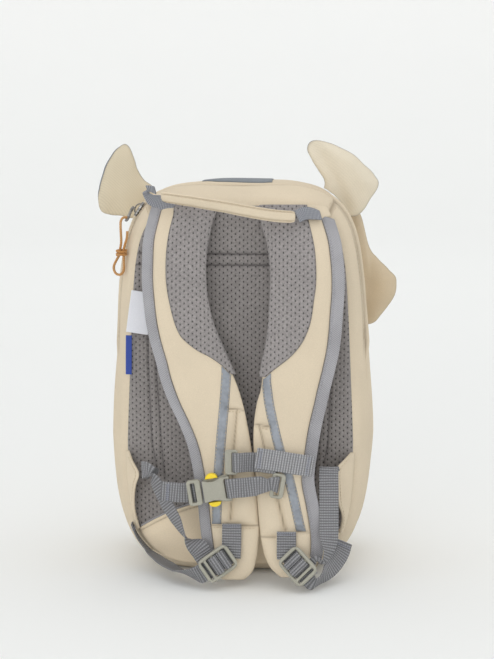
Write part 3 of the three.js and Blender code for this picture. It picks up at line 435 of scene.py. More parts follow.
def webbing(name, rgb, rib=2.05, columns=1.9):
    """Ribbed polyester webbing: ribs across, warp columns along."""
    f = Finish(name, 0.7, sheen=0.1, specular=0.3)
    u, v = f.uv()
    ribs, warp = f.sine(v, rib), f.sine(u, columns)
    grain = f.noise(1500, 2, 0.6)
    # the ribs and warp columns run light and dark in the colour: the woven pattern, with painted highlights on the ribs
    value = f.math("MULTIPLY_ADD", f.math("MULTIPLY", ribs, warp), 0.3, f.math("MULTIPLY_ADD", ribs, 0.4, f.math("MULTIPLY", grain, 0.4)))
    c = srgb(*rgb)
    base = f.blend(f.range(value, 0.15, 0.92), shade(c, 0.57), shade(c, 1.33))
    f.colour(f.blend(f.seam(), base, srgb(112, 116, 132)))
    f.bump(f.math("MULTIPLY_ADD", ribs, 0.6, f.math("MULTIPLY", warp, 0.4)), 0.3)
    return f.m


def twill_tape(name, rgb):
    f = Finish(name, 0.8, sheen=0.15, specular=0.25)
    u, v = f.uv()
    ribs = f.sine(f.math("MULTIPLY_ADD", u, 0.7, v), 1.5)
    grain = f.noise(1600, 2, 0.6)
    slow = f.range(f.noise(40, 2), 0.3, 0.7)
    c = srgb(*rgb)
    value = f.math("MULTIPLY_ADD", ribs, 0.45, f.math("MULTIPLY_ADD", grain, 0.35, f.math("MULTIPLY", slow, 0.2)))
    base = f.blend(f.range(value, 0.12, 0.88), shade(c, 0.74), shade(c, 1.14))
    f.colour(f.blend(f.seam(), base, srgb(108, 107, 116)))
    f.bump(f.math("MULTIPLY_ADD", ribs, 0.7, grain), 0.15)
    return f.m


def reflective(name, rgb):
    f = Finish(name, 0.42, metallic=0.25, specular=0.5)
    u, v = f.uv()
    crinkle = f.noise(260, 3, 0.6)
    slow = f.noise(70, 2)
    c = srgb(*rgb)
    f.colour(f.blend(f.range(f.math("MULTIPLY_ADD", crinkle, 0.6, f.math("MULTIPLY", slow, 0.4)), 0.3, 0.7), shade(c, 0.82), shade(c, 1.16)))
    f.rough(f.range(crinkle, 0.3, 0.7, 0.36, 0.55))
    f.bump(f.math("MULTIPLY_ADD", crinkle, 0.5, slow), 0.5)
    return f.m


def moulded(name, rgb, roughness=0.46, specular=0.45, grain=900):
    """Moulded plastic: fine spark-eroded grain and slight clouding."""
    f = Finish(name, roughness, specular=specular)
    fine, slow = f.noise(grain, 2, 0.6), f.noise(60, 2)
    c = srgb(*rgb)
    f.colour(f.blend(f.range(f.math("MULTIPLY_ADD", fine, 0.5, f.math("MULTIPLY", slow, 0.5)), 0.3, 0.7), shade(c, 0.93), shade(c, 1.05)))
    f.rough(f.range(fine, 0.3, 0.7, roughness - 0.06, roughness + 0.08))
    f.bump(fine, 0.03)
    return f.m


def plated(name, rgb, roughness=0.3):
    f = Finish(name, roughness, metallic=1.0, specular=0.5)
    slow, fine = f.noise(180, 3), f.noise(1500, 2)
    c = srgb(*rgb)
    f.colour(f.blend(f.range(slow, 0.3, 0.7), shade(c, 0.8), shade(c, 1.2)))
    f.rough(f.range(fine, 0.3, 0.7, roughness - 0.06, roughness + 0.1))
    f.bump(fine, 0.02)
    return f.m


def braided(name, rgb, light):
    f = Finish(name, 0.75, sheen=0.15, specular=0.25)
    grain = f.noise(1300, 2, 0.6)
    slow = f.noise(55, 2)
    strands = f.math("MULTIPLY", f.bands(420, "DIAGONAL"), f.bands(420, "Z"))
    base = f.blend(f.range(slow, 0.35, 0.65), srgb(*rgb), srgb(*light))
    f.colour(f.blend(f.range(f.math("MULTIPLY_ADD", strands, 0.6, f.math("MULTIPLY", grain, 0.4)), 0.1, 0.8), shade(srgb(*rgb), 0.7), base))
    f.bump(f.math("MULTIPLY_ADD", strands, 0.8, grain), 0.25)
    return f.m


def satin(name, rgb, pitch=0.5, roughness=0.55):
    """Woven label or lining cloth with a fine even weave."""
    f = Finish(name, roughness, sheen=0.1, specular=0.3)
    weave = f.math("MULTIPLY", f.bands(0.628 / (pitch * MM), "X"), f.bands(0.628 / (pitch * MM), "Z"))
    grain, slow = f.noise(1400, 2, 0.6), f.noise(45, 2)
    c = srgb(*rgb)
    value = f.math("MULTIPLY_ADD", weave, 0.35, f.math("MULTIPLY_ADD", grain, 0.4, f.math("MULTIPLY", slow, 0.3)))
    base = f.blend(f.range(value, 0.2, 0.9), shade(c, 0.88), shade(c, 1.06))
    f.colour(f.blend(f.seam(), base, shade(c, 0.7)))
    f.bump(f.math("MULTIPLY_ADD", weave, 0.6, grain), 0.1)
    return f.m


BEIGE = canvas("beige_canvas", (223, 208, 184))
# a darker copy of the beige canvas with a ribbed weave: the rib is the cloth's own, the darker colour is painted shade
# on the left ear
BEIGE_RIB_PAINTED_SHADE = canvas("beige_canvas_ribbed_painted_shade", (211, 199, 175), twill=0.3)
# a lighter copy of the beige canvas: painted light on the right ear
BEIGE_EAR_PAINTED_LIGHT = canvas("beige_canvas_ear_painted_light", (228, 218, 198), twill=0.12)
# a lighter copy of the beige canvas: painted light on the lower panel, standing in for light thrown up from the floor
BEIGE_PAINTED_LIGHT = canvas("beige_canvas_painted_light", (238, 221, 194))
# a darker copy of the beige canvas: painted shade on the side lobe
BEIGE_PAINTED_SHADE = canvas("beige_canvas_painted_shade", (213, 195, 167))
MESH = perforated("air_mesh", (150, 145, 143), (58, 55, 56))
MESH_STRAP = perforated("strap_mesh", (158, 153, 152), (66, 63, 64))
TWILL = twill_tape("twill_tape", (166, 165, 169))
WEB_CLOTH = webbing("ribbed_webbing", (136, 136, 139))
# a lighter copy of the webbing: painted light on the front-most sternum flap
WEB_PAINTED_LIGHT = webbing("ribbed_webbing_painted_light", (155, 155, 158))
REFLECT = reflective("reflective_tape", (146, 151, 159))
PLASTIC = moulded("matt_plastic", (164, 162, 149))
YELLOW = moulded("yellow_plastic", (245, 214, 40), 0.38, 0.5)
METAL = plated("dark_nickel", (138, 136, 134), 0.24)
METAL_DARK = plated("dark_teeth", (72, 68, 66), 0.42)
CORD_CLOTH = braided("braided_cord", (214, 150, 82), (236, 204, 160))
WHITE = satin("white_label", (240, 241, 248), 0.55)
BLUE = satin("blue_label", (58, 82, 168), 0.6)
GREY = satin("grey_lining", (128, 134, 140), 0.8, 0.8)
TAPE_CLOTH = satin("zipper_cloth", (178, 150, 120), 0.7, 0.8)
THREAD_BEIGE = satin("beige_thread", (206, 188, 158), 0.4, 0.6)
THREAD_GREY = satin("grey_thread", (186, 186, 194), 0.4, 0.6)
THREAD_LIGHT = satin("light_thread", (176, 179, 194), 0.4, 0.6)
THREAD_DARK = satin("dark_thread", (88, 84, 86), 0.4, 0.6)
TAB_CLOTH = webbing("tab_webbing", (150, 152, 159), 1.2, 1.5)


# ---- cord on the zipper's pull ---------------------------------------------------------
CORD = [
    [-90.05, -45.7, 282.7], [-91.24, -46.21, 283.23], [-92.47, -46.87, 283.3], [-93.7, -47.65, 282.85], [-94.6, -48.4, 281.8], [-95.17, -49.22, 279.9], [-95.2, -50.1, 276.3], [-94.9, -50.9, 270.6], [-94.7, -51.2, 264],
    [-95.5, -51.4, 258.6], [-96.4, -51.4, 253.8], [-98.6, -51.4, 249.6], [-100.6, -51.4, 245.2], [-100.5, -51.6, 241.6], [-98.7, -52, 238.9], [-96, -52.5, 238.2], [-93.5, -52.9, 240], [-92.5, -53, 243.6], [-92.6, -52.8, 248], [-92.7, -52.4, 253], [-92.7, -52, 258], [-91.6, -51.2, 262.5], [-90.3, -50, 267.5], [-90, -49, 272.5],
]
CORD_RADIUS = 1.0
course = spline(CORD, np.linspace(0, 1, 170))
cord_data = bpy.data.curves.new("pull_cord_braid", "CURVE")
cord_data.dimensions = "3D"
cord_data.bevel_depth, cord_data.bevel_resolution, cord_data.use_fill_caps = CORD_RADIUS * MM, 5, True
cord_line = cord_data.splines.new("POLY")
cord_line.points.add(len(course) - 1)
for q, p in zip(cord_line.points, course):
    q.co = (p[0] * MM, p[1] * MM, p[2] * MM, 1)
cord_data.materials.append(CORD_CLOTH)
cord = bpy.data.objects.new("pull_cord_braid", cord_data)
SCENE.collection.objects.link(cord)
piece(cord, "cord", "pull_cord")
t = np.linspace(0, 1, 90)
turn = t * TAU * 2.5
wrap = np.stack([-94.45 + 3.6 * np.cos(turn), -51.8 + 3.0 * np.sin(turn), 255.5 + 2.1 * (1 - 2 * t) + 0.35 * np.sin(turn * 0.5)], 1)
v, f = tube_solid(wrap, np.broadcast_to([0.0, 0, 1], wrap.shape), 2.0, 2.0, 10)
knot = build("cord_knot_wraps", v, f, materials=[CORD_CLOTH])
piece(knot, "cord", "cord_knot")


# ---- the bag ----------------------------------------------------------------------
GAP, WALL, BACK_Y, PANEL_EDGE, PANEL_CROWN, CLOTH = 0.4, 2.5, -60.0, 3.0, 5.0, 1.2
ZIP_REAR, ZIP_FRONT = -41.0, -31.0
ZIP_ENDS = (0.268, 0.2857)  # share of the way round, from the middle of the base, where the zipper's slot opens
AROUND = 480
SECTIONS = Table("y half low high taper nLow nHigh", [
    [-60, 90, 6, 294, 0.07, 4.5, 6],
    [-56, 95, 2, 299, 0.075, 4.3, 5.6],
    [-46, 101, -2.5, 304.5, 0.08, 4, 5.2],
    [-28, 105.5, -4, 308.5, 0.088, 3.7, 4.8],
    [-8, 106.8, -4, 310, 0.09, 3.6, 4.6],
    [15, 106, -4, 309.5, 0.09, 3.6, 4.6],
    [36, 103, -3.5, 307, 0.09, 3.6, 4.6],
    [50, 97, -1, 301.5, 0.09, 3.6, 4.6],
    [57, 90, 4, 294, 0.09, 3.6, 4.6],
])
# Front panel beyond its seam: share of the seam's outline and depth.
FRONT_DOME = Table("share y", [[0, 70.4], [0.16, 70], [0.38, 69], [0.6, 67], [0.8, 64], [0.93, 60.5], [1, 57]])


def outline(sec, count, grow=0.0, floor=0.0, share=1.0):
    _, half, low, high, taper, n_low, n_high = sec
    centre, tall = (low + high) / 2, (high - low) / 2
    a = np.linspace(0, TAU, 2881)
    c, s = -np.cos(a), np.sin(a)
    n = np.where(c < 0, n_low, n_high)
    t, x = np.sign(c) * np.abs(c) ** (2 / n), np.sign(s) * np.abs(s) ** (2 / n)
    narrow = 1 - taper * np.maximum(t + 0.3, 0)
    px, pz = share * (half * narrow + grow) * x, centre + share * (tall + grow) * t
    run = np.concatenate([[0], np.cumsum(np.hypot(np.diff(px), np.diff(pz)))])
    want = run[-1] * np.arange(count) / count
    return np.interp(want, run, px), np.maximum(np.interp(want, run, pz), floor)


def ring(y, grow=0.0, floor=0.0, count=AROUND):
    x, z = outline(SECTIONS.at(y), count, grow, floor)
    return np.stack([x, np.full(count, float(y)), z], 1)


def dome_ring(share, floor=0.0, count=AROUND):
    x, z = outline(SECTIONS.at(57.0), count, 0.0, floor, share)
    return np.stack([x, np.full(count, float(FRONT_DOME.get("y", share))), z], 1)


def on_bag(share, y, lift=0.0):
    """Points on the outer surface at shares of the way round and one depth."""
    x, z = outline(SECTIONS.at(y), 1440, lift)
    f = (np.asarray(share, float) % 1) * 1440
    return np.stack([np.interp(f, np.arange(1441), np.append(x, x[0])), np.full(np.shape(share), float(y)), np.interp(f, np.arange(1441), np.append(z, z[0]))], -1)


def settle(p, amount, seed, length=70.0):
    """Slow hills of soft cloth over a ring grid, none of it below the floor."""
    out = normals_of(p, np.stack([p[..., 0], np.zeros(p.shape[:2]), p[..., 2] - 150], -1), True)
    free = smooth(1.0, 14.0, p[..., 2])[..., None]
    moved = p + out * (waves(p, length, seed) * amount)[..., None] * free
    moved[..., 2] = np.maximum(moved[..., 2], p[..., 2].min())
    return moved


def with_groove(p, share, places, depth, wide):
    """Seams across a ring grid at shares of the way round."""
    out = unit(np.stack([p[..., 0], np.zeros(p.shape[:2]), p[..., 2] - 150], -1))
    turn = 1000.0
    mark = np.zeros(p.shape[:2])
    for k in places:
        d = np.abs((share - k + 0.5) % 1 - 0.5) * turn
        mark = np.maximum(mark, np.broadcast_to(np.exp(-((d / wide) ** 2)), mark.shape))
    return p - out * (mark * depth)[..., None], mark


SHARES = np.arange(AROUND) / AROUND
OPEN = smooth(*ZIP_ENDS, np.minimum(SHARES, 1 - SHARES))  # 1 along the zipper
TOP_SEAMS = (0.416, 0.584)  # seams across the gusset at the upper corners, where its flap over the zipper ends
FLAP = smooth(TOP_SEAMS[0] - 0.001, TOP_SEAMS[0] + 0.001, np.minimum(SHARES, 1 - SHARES))  # 1 along the flap
FOOT_SEAMS = (0.088, 0.912)

# Rear gusset: rolls over at the panel's seam and is folded in along the zipper.
rows = [(-60.3, -1.6), (-60.5, -0.5), (-60.0, 0.5), (-58.6, 1.0), (-57, 1.0), (-55, 0.8), (-52.6, 0.5), (-50, 0.2), (-47, 0.3), (-44.4, 0.7), (-42.4, 0.8), (-41.2, 0.3), (-41.0, -0.8)]
outer = np.stack([ring(y, g) for y, g in rows])
inner = np.stack([ring(min(max(y, -60.0), -41.0), -WALL, WALL) for y, g in rows])
inner[:, :, 1] = np.clip(inner[:, :, 1], -60.0, -41.0)
for k, (y, high, low) in enumerate([(-42.6, 0.9, -1.5), (-37.6, 1.0, -0.2), (-31.9, 0.9, -0.2), (-31.35, 0.1, -0.2)]):
    outer[9 + k] = mix(outer[9 + k], ring(y, high), FLAP[:, None])
    inner[9 + k] = mix(inner[9 + k], ring(y, low), FLAP[:, None])
outer = settle(outer, 0.35, 11)
outer, mark = with_groove(outer, SHARES[None], TOP_SEAMS + FOOT_SEAMS, 1.0, 1.7)
pucker = np.exp(-(((outer[..., 1] + 59.4) / 3.5) ** 2)) * np.sin(SHARES[None] * TAU * 150) * 0.22
outer[..., 1] -= pucker
v, f = slab(outer, inner, True)
hem = np.exp(-(((outer[..., 1] + 44.0) / 1.0) ** 2)) * 0.3 * (OPEN * (1 - FLAP))[None]
gusset = build("rear_gusset_cloth", v, f, materials=[BEIGE], seam=np.concatenate([np.maximum(mark * 0.6, hem).ravel(), np.zeros(mark.size)]))
piece(gusset, "beige", "rear_gusset")

# Front shell: its rear edge lies against the gusset below the zipper and is folded back along it.
edge_closed, edge_open = ring(ZIP_REAR + GAP, -0.5), ring(ZIP_FRONT, -0.8)
first = mix(edge_closed, edge_open, OPEN[:, None])
lip = mix(ring(ZIP_REAR + GAP + 0.8, 0.3), ring(ZIP_FRONT + 0.5, 1.0), OPEN[:, None])
roll = mix(ring(-37.5, 0.2), ring(ZIP_FRONT + 2.2, 1.5), OPEN[:, None])
depths = [-26.5, -21, -14, -6, 3, 12, 21, 29, 36, 42, 47, 51, 54, 56.2]
shares = [1.0, 0.985, 0.965, 0.94, 0.9, 0.85, 0.78, 0.7, 0.6, 0.48, 0.35, 0.2, 0.07]
outer = np.stack([first, lip, roll] + [ring(y, 0.3 if y < -25 else 0.0) for y in depths] + [dome_ring(s) for s in shares])
outer = settle(outer, 0.5, 23)


def crown_hill(p):
    """The soft top rises a little between the ears."""
    across = smooth(0.545, 0.515, SHARES) * smooth(0.44, 0.465, SHARES)
    return 1.0 * across[None] * smooth(-27, -12, p[..., 1]) * smooth(56, 40, p[..., 1])


outer[..., 2] += crown_hill(outer)
seam_row = np.exp(-(((outer[..., 1] - 57.0) / 1.1) ** 2))
out = unit(np.stack([outer[..., 0], np.zeros(outer.shape[:2]), outer[..., 2] - 150], -1))
outer -= out * (seam_row * 0.9)[..., None]
outer[..., 2] = np.maximum(outer[..., 2], 0)
inner_first = mix(ring(ZIP_REAR + GAP, -WALL, WALL), ring(ZIP_FRONT, -WALL, WALL), OPEN[:, None])
inner_lip = mix(ring(ZIP_REAR + GAP + 0.8, -WALL, WALL), ring(ZIP_FRONT + 0.5, -WALL, WALL), OPEN[:, None])
inner_roll = mix(ring(-37.5, -WALL, WALL), ring(ZIP_FRONT + 2.2, -WALL, WALL), OPEN[:, None])
inner = [inner_first, inner_lip, inner_roll] + [ring(y, -WALL, WALL) for y in depths]
for s in shares:
    p = dome_ring(s * 0.975, WALL)
    p[:, 1] = float(FRONT_DOME.get("y", s)) - WALL
    inner.append(p)
inner = np.stack(inner)
inner[..., 2] += crown_hill(inner)
n = outer.shape[0] * AROUND
v, f = slab(outer, inner, True)
f = f[:3]  # the last rows close onto middle points instead of onto each other
tip = np.array([[0, 70.45, 149.0], [0, 70.45 - WALL, 149.0]])
last = (outer.shape[0] - 1) * AROUND + np.arange(AROUND)
nxt = np.roll(last, -1)
f.append(np.stack([last, nxt, np.full(AROUND, 2 * n)], 1))
f.append(np.stack([nxt + n, last + n, np.full(AROUND, 2 * n + 1)], 1))
v = np.concatenate([v, tip])
shell = build("front_shell_cloth", v, f, materials=[BEIGE], seam=np.concatenate([(seam_row * 0.45).ravel(), np.zeros(n + 2)]))
piece(shell, "beige", "front_shell")
shell_skin = BVHTree.FromPolygons(v.tolist(), [q for part in f for q in np.asarray(part).tolist()])
seam_lines = []
for y, lift in ((53.5, 0.15),):
    p = on_bag(np.linspace(0.08, 0.92, 900), y, lift)
    seam_lines.append((p, unit(np.stack([p[:, 0], 0 * p[:, 0], p[:, 2] - 150], 1))))
for y, lift, start, stop in ((-44.6, 0.9, 0.29, 0.41), (-44.6, 0.9, 0.59, 0.71), (-26.6, 0.5, 0.29, 0.71)):
    p = on_bag(np.linspace(start, stop, 700), y, lift)
    seam_lines.append((p, unit(np.stack([p[:, 0], 0 * p[:, 0], p[:, 2] - 150], 1))))
for k in TOP_SEAMS:
    for side in (-0.0032, 0.0032):
        p = np.concatenate([on_bag(np.array([k + side]), y, 0.55) for y in np.linspace(-58, -46, 9)])
        seam_lines.append((p, unit(np.stack([p[:, 0], 0 * p[:, 0], p[:, 2] - 150], 1))))
stitches("body_stitches", seam_lines, THREAD_BEIGE, "beige", 2.3, 1.0)

# ---- back panel --------------------------------------------------------------------
SEAM_MID, SEAM_TALL = 150.0, 144.0


def seam_half(z):
    t = (np.asarray(z, float) - SEAM_MID) / SEAM_TALL
    n = np.where(t < 0, 4.5, 6.0)
    return 90 * (1 - 0.07 * np.maximum(t + 0.3, 0)) * np.maximum(1 - np.minimum(np.abs(t), 1) ** n, 0) ** (1 / n)


def panel_face(x, z):
    """Depth of the padded face, which rolls into the seam round its edge."""
    t, half = (z - SEAM_MID) / SEAM_TALL, np.maximum(seam_half(z), 1e-6)
    a = np.minimum(np.abs(x) / half, 1)
    near = np.minimum((1 - a) * half, (1 - np.abs(t)) * SEAM_TALL * 1.6)
    round_over = np.sqrt(np.maximum(1 - (1 - np.minimum(near / 4.5, 1)) ** 2, 0))
    return BACK_Y - GAP - PANEL_EDGE * round_over - PANEL_CROWN * (1 - a**3) * (1 - np.abs(t) ** 4)


COLUMN, PITCH = 3.16, 4.65  # layout of the holes


def to_hole(u, v):
    dx, dy = np.abs((u + COLUMN) % (2 * COLUMN) - COLUMN), np.abs((v + PITCH / 2) % PITCH - PITCH / 2)
    return np.minimum(np.hypot(dx, dy), np.hypot(COLUMN - dx, PITCH / 2 - dy))


CHANNELS = [[(-73.5, 236), (-72.5, 180), (-69.9, 108), (-66, 84)], [(-66.5, 176), (-65.5, 156), (-61.2, 91), (-59, 76)]]
CHANNELS += [[(-x, z) for x, z in line] for line in CHANNELS]
BAND_SEAMS = (256.3, 247.7)


def panel_quilting_and_crease_shade(x, z):
    """How far seams draw the padding in, and the painted shade in their crease."""
    draw, mark = np.zeros(np.shape(x)), np.zeros(np.shape(x))
    for level in BAND_SEAMS:
        d = np.abs(z - level + 0.25 * np.sin(x * 0.9))
        draw = np.maximum(draw, 1.5 * np.exp(-((d / 1.5) ** 2)) + 0.5 * np.exp(-((d / 5) ** 2)))
        mark = np.maximum(mark, 0.75 * np.exp(-((d / 0.65) ** 2)))
    for line in CHANNELS:
        d = gap_to(line, x, z)
        draw = np.maximum(draw, 0.9 * np.exp(-((d / 1.3) ** 2)) + 0.4 * np.exp(-((d / 4) ** 2)))
        mark = np.maximum(mark, 0.35 * np.exp(-((d / 0.7) ** 2)))
    return draw, mark


t = np.linspace(-0.9996, 0.9996, 304)
a = np.sin(np.linspace(-1, 1, 196) * 1.25) / math.sin(1.25)
z = np.broadcast_to((SEAM_MID + SEAM_TALL * t)[:, None], (304, 196))
x = a[None] * seam_half(z)
draw, mark = panel_quilting_and_crease_shade(x, z)
inside = smooth(1.0, 4.0, np.minimum((1 - np.abs(a))[None] * seam_half(z), (1 - np.abs(t))[:, None] * SEAM_TALL))
depth = panel_face(x, z) + inside * (draw + 0.4 * np.exp(-((to_hole(x, z) / 0.65) ** 2)) + 0.25 * waves(np.stack([x, z], -1), 45, 5))
front = np.stack([x, depth, z], -1)
loop = rim_of(304, 196)
v = np.concatenate([front.reshape(-1, 3), [[0, BACK_Y - GAP, SEAM_MID]]])
f = [grid_faces(304, 196), np.stack([np.roll(loop, -1), loop, np.full(len(loop), len(v) - 1)], 1)]
# the panel's seam attribute is painted shade in the quilting creases
panel = build("back_panel_mesh", v, f, uv=np.concatenate([np.stack([x, z], -1).reshape(-1, 2), [[0, SEAM_MID]]]), materials=[MESH], seam=np.append(mark.ravel(), 0))
piece(panel, "mesh", "back_panel")

# Lower panel: one cut of canvas over the foot of the back panel, with an arched and stitched upper edge.
ARCH_REACH = 80.0


def arch(x):
    return 62 - 26 * (x / 80) ** 2


def foot(x):
    return SEAM_MID - SEAM_TALL * np.maximum(1 - (np.abs(x) / 90) ** 4.5, 0) ** (1 / 4.5)


u, w = np.linspace(-1, 1, 150), np.linspace(0, 1, 60)
x = np.broadcast_to((ARCH_REACH * np.sin(u * 1.2) / math.sin(1.2))[None], (60, 150))
z = mix(foot(x) + 0.4, arch(x), w[:, None])
fold = np.sqrt(np.maximum(1 - (1 - np.minimum((arch(x) - z) / 1.3, 1)) ** 2, 0))
bulge = 2.2 * np.sin(np.pi * np.clip(w, 0, 1))[:, None] ** 0.7 * (1 - (x / 90) ** 4)
stitch_line = np.abs(arch(x) - 3.0 - z)
depth = panel_face(x, z) - 0.7 - CLOTH * (0.25 + 0.75 * fold) - bulge * smooth(0, 10, stitch_line) * 0.8 + 0.35 * np.exp(-((stitch_line / 1.2) ** 2)) - 0.35 * waves(np.stack([x, z], -1), 38, 8)
front = np.stack([x, depth, z], -1)
back = np.stack([x, np.minimum(panel_face(x, z) - 0.45, depth + CLOTH * 1.1), z], -1)
back[..., 1] = np.maximum(back[..., 1], depth + 0.3)
v, f = slab(front, back)
mark = 0.25 * np.exp(-((stitch_line / 0.8) ** 2))
# the lower panel is in the lighter copy of the beige: painted light
lower = build("lower_panel_cloth", v, f, materials=[BEIGE_PAINTED_LIGHT], seam=np.concatenate([mark.ravel(), 0 * mark.ravel()]))
piece(lower, "beige", "lower_panel")
x = np.linspace(-78, 78, 400)
line = np.stack([x, panel_face(x, arch(x) - 3.0) - 0.7 - CLOTH + 0.1, arch(x) - 3.0], 1)
# piping along the arch
xp = np.linspace(-79.5, 79.5, 260)
pipe = np.stack([xp, panel_face(xp, arch(xp) + 0.8) - 0.9, arch(xp) + 0.7], 1)
v, f = tube_solid(pipe, np.broadcast_to([0.0, 0, 1], pipe.shape), 1.5, 1.5, 8)
piping = build("lower_panel_piping", v, f, uv=v[:, [0, 2]], materials=[TWILL])
piece(piping, "twill")
stitches("lower_panel_stitches", [(line, (0, -1, 0.1))], THREAD_BEIGE, "beige", 2.2, 1.0)
x = np.linspace(-84, 84, 420)
band_lines = []
for level in BAND_SEAMS:
    xs = np.linspace(-80, 80, 500)
    zs = np.full(500, level)
    draw, _ = panel_quilting_and_crease_shade(xs, zs)
    band_lines.append((np.stack([xs, panel_face(xs, zs) + draw - 0.25, zs], 1), (0, -1, 0)))
for line in CHANNELS:
    p = spline([(q[0], 0, q[1]) for q in line], np.linspace(0.03, 0.97, 300))
    draw, _ = panel_quilting_and_crease_shade(p[:, 0], p[:, 2])
    p[:, 1] = panel_face(p[:, 0], p[:, 2]) + draw - 0.2
    band_lines.append((p, (0, -1, 0)))
stitches("back_panel_stitches", band_lines, THREAD_DARK, "mesh", 2.2, 0.9, 0.5, 0.4)

# Crown patch on the top of the shell.
shares = np.linspace(0.474, 0.5357, 40)
k = np.linspace(0, 1, 46)
rear = -23.0 + 7 * smooth(0.52, 0.5357, shares) + 3 * smooth(0.484, 0.474, shares)
at_y = mix(rear[None], 42.0, k[:, None])


def on_crown(lift):
    """Points over the top of the shell, each column with its own rear end."""
    levels = np.linspace(-30, 42, 73)
    sheet = np.stack([on_bag(shares, y, lift) for y in levels])
    return np.stack([np.stack([np.interp(at_y[:, j], levels, sheet[:, j, c]) for c in range(3)], -1) for j in range(len(shares))], 1)


def on_shell(points):
    """The points let down onto the finished shell."""
    seat = points.copy()
    for at in np.ndindex(points.shape[:2]):
        hit = shell_skin.ray_cast(Vector((points[at][0], points[at][1], points[at][2] + 12)), Vector((0, 0, -1)))[0]
        seat[at][2] = hit.z
    return seat


seat = on_shell(on_crown(0.5))
thick = np.full(seat.shape[:2], 0.85)
thick[[0, -1], :] = 0.5
thick[:, [0, -1]] = 0.5
low, high = seat.copy(), seat.copy()
low[..., 2] += 0.12
high[..., 2] += thick
v, f = slab(high, low)
patch = build("crown_patch_cloth", v, f, materials=[GREY])
piece(patch, "grey_cloth", "crown_patch")


# ---- shoulder straps -----------------------------------------------------------------
STRAP_TOP, STRAP_END = 294.5, {"left": 5.0, "right": 8.0}
PAD_HALF, BINDING_HALF, BINDING_WIDTH, BINDING_OUT = 4.4, 2.0, {"left": 8.6, "right": 9.8}, {"left": 0.2, "right": 1.0}
STRAP = {
    "left": Table("z outer inner y", [
        [295, -67.9, -17.6, -65.6], [290, -69.5, -19.5, -68], [280, -71.7, -23.4, -74.5], [268, -73.9, -26.1, -80.5], [252, -74.3, -27.6, -86],
        [236, -74.2, -27.4, -88.5], [220, -72.9, -25.4, -89.5], [205, -71.1, -21.7, -90], [190, -68, -15.6, -90],
        [175, -63.8, -9, -90], [160, -60.1, -2.1, -90], [143, -53.8, 3.5, -91], [127, -46.2, 7.1, -92],
        [111, -39.7, 10, -93], [95, -35.8, 12.3, -94], [69, -31.5, 15, -96], [46, -29.1, 16.7, -98],
        [31, -27.1, 15.9, -99], [20, -24.5, 14.4, -100], [11, -20.5, 11.6, -101], [5, -12, 5.6, -101],
    ]),
    "right": Table("z outer inner y", [
        [295, 68.2, 16.6, -65.6], [290, 70.5, 17.5, -68], [280, 74.3, 19.7, -74.5], [268, 78, 24.2, -80.5], [256, 79.8, 26.3, -86],
        [244, 80.9, 27.6, -88.5], [229, 81, 27.3, -90], [213, 79.9, 26.5, -91], [198, 78.9, 25.4, -92],
        [184, 77.2, 23, -92], [170, 74.3, 19.9, -92], [154, 70.5, 17.9, -92], [142, 67.9, 14.6, -92.5],
        [125, 64, 12.5, -94], [108, 61.3, 12.4, -95], [84, 58.6, 14.3, -97], [63, 62.4, 15.9, -99],
        [46, 65.2, 17.4, -100], [34, 66.1, 19, -101], [23, 65, 21.9, -102], [15, 61.3, 25.9, -103], [8, 53, 33.5, -103],
    ]),
}
MESH_EDGE = {
    "left": Table("z x", [[286, -51], [268, -54.4], [252, -55.5], [237, -55.1], [222, -52.8], [206, -48.8], [196, -44.4], [190, -38.8], [184, -31], [179, -21.8], [172, -12.2], [167, -7.5], [163.5, -4.4]]),
    "right": Table("z x", [[286, 52.6], [272, 56.4], [260, 58.9], [246, 60], [234, 59.8], [223, 58.4], [207, 56.1], [196, 52.2], [188, 47.6], [180, 40.8], [173, 32.4], [167, 25], [163, 20.8]]),
}
REFLECTOR = {
    "left": Table("z x", [[166, -9.2], [144, -10.6], [113, -13], [88, -14.6], [48.5, -16.2]]),
    "right": Table("z x", [[160, 22.4], [141, 25.1], [108, 32.9], [87, 39.6], [58, 46.3], [44, 49.5]]),
}
REFLECTOR_HALF = 3.7
MESH_FOOT = {"left": 165.5, "right": 164.0}
# Seams and pleats that draw the padding in, as lines of (x, z).
PLEATS = {
    "left": [[(-8.3, 138.6), (4.8, 137.4)], [(-0.8, 138), (-3.2, 106), (-5.5, 51.6)], [(-29, 47.2), (-8, 48), (16, 47)], [(15.3, 70), (16.4, 47)]],
    "right": [[(13.3, 127), (24.1, 125)], [(16.8, 125.6), (21, 108.5), (24, 90)], [(30.2, 74), (37.2, 44.6)], [(17.9, 39.2), (29.5, 39.2)], [(45.6, 44), (56, 43)]],
}


def strap_mid(side, v, z):
    v, z = np.broadcast_arrays(np.asarray(v, float), np.asarray(z, float))
    r = STRAP[side].at(z)
    return np.stack([mix(r[..., 1], r[..., 2], v), r[..., 3] - 1.5 * np.sin(np.pi * v), z], -1)


def strap_axes(side, v, z):
    """Unit vectors out of the strap's face and across it towards its inner edge."""
    across = unit(strap_mid(side, v + 0.01, z) - strap_mid(side, v - 0.01, z))
    n = unit(np.cross(across, strap_mid(side, v, z + 0.6) - strap_mid(side, v, z - 0.6)))
    return n * np.where(n[..., 1:2] > 0, -1, 1), across


def strap_width(side, z):
    r = STRAP[side].at(z)
    return np.abs(r[..., 2] - r[..., 1])


def taper_top(z):
    return mix(0.42, 1, np.minimum((STRAP_TOP - z) / 22, 1))


BINDING_TUCK = {"left": 0.0, "right": 8.0}  # the binding ends this far below the top of the strap


def pad_from(side, z):
    """Where the pad begins: beside the binding, and at the outer edge below its end."""
    over = smooth(STRAP_TOP - BINDING_TUCK[side] - 2.5, STRAP_TOP - BINDING_TUCK[side], z) if BINDING_TUCK[side] else 0
    return (BINDING_WIDTH[side] - BINDING_OUT[side] - 0.2) / strap_width(side, z) * smooth(STRAP_END[side] + 11, STRAP_END[side] + 17, z) * (1 - over) + 0.01


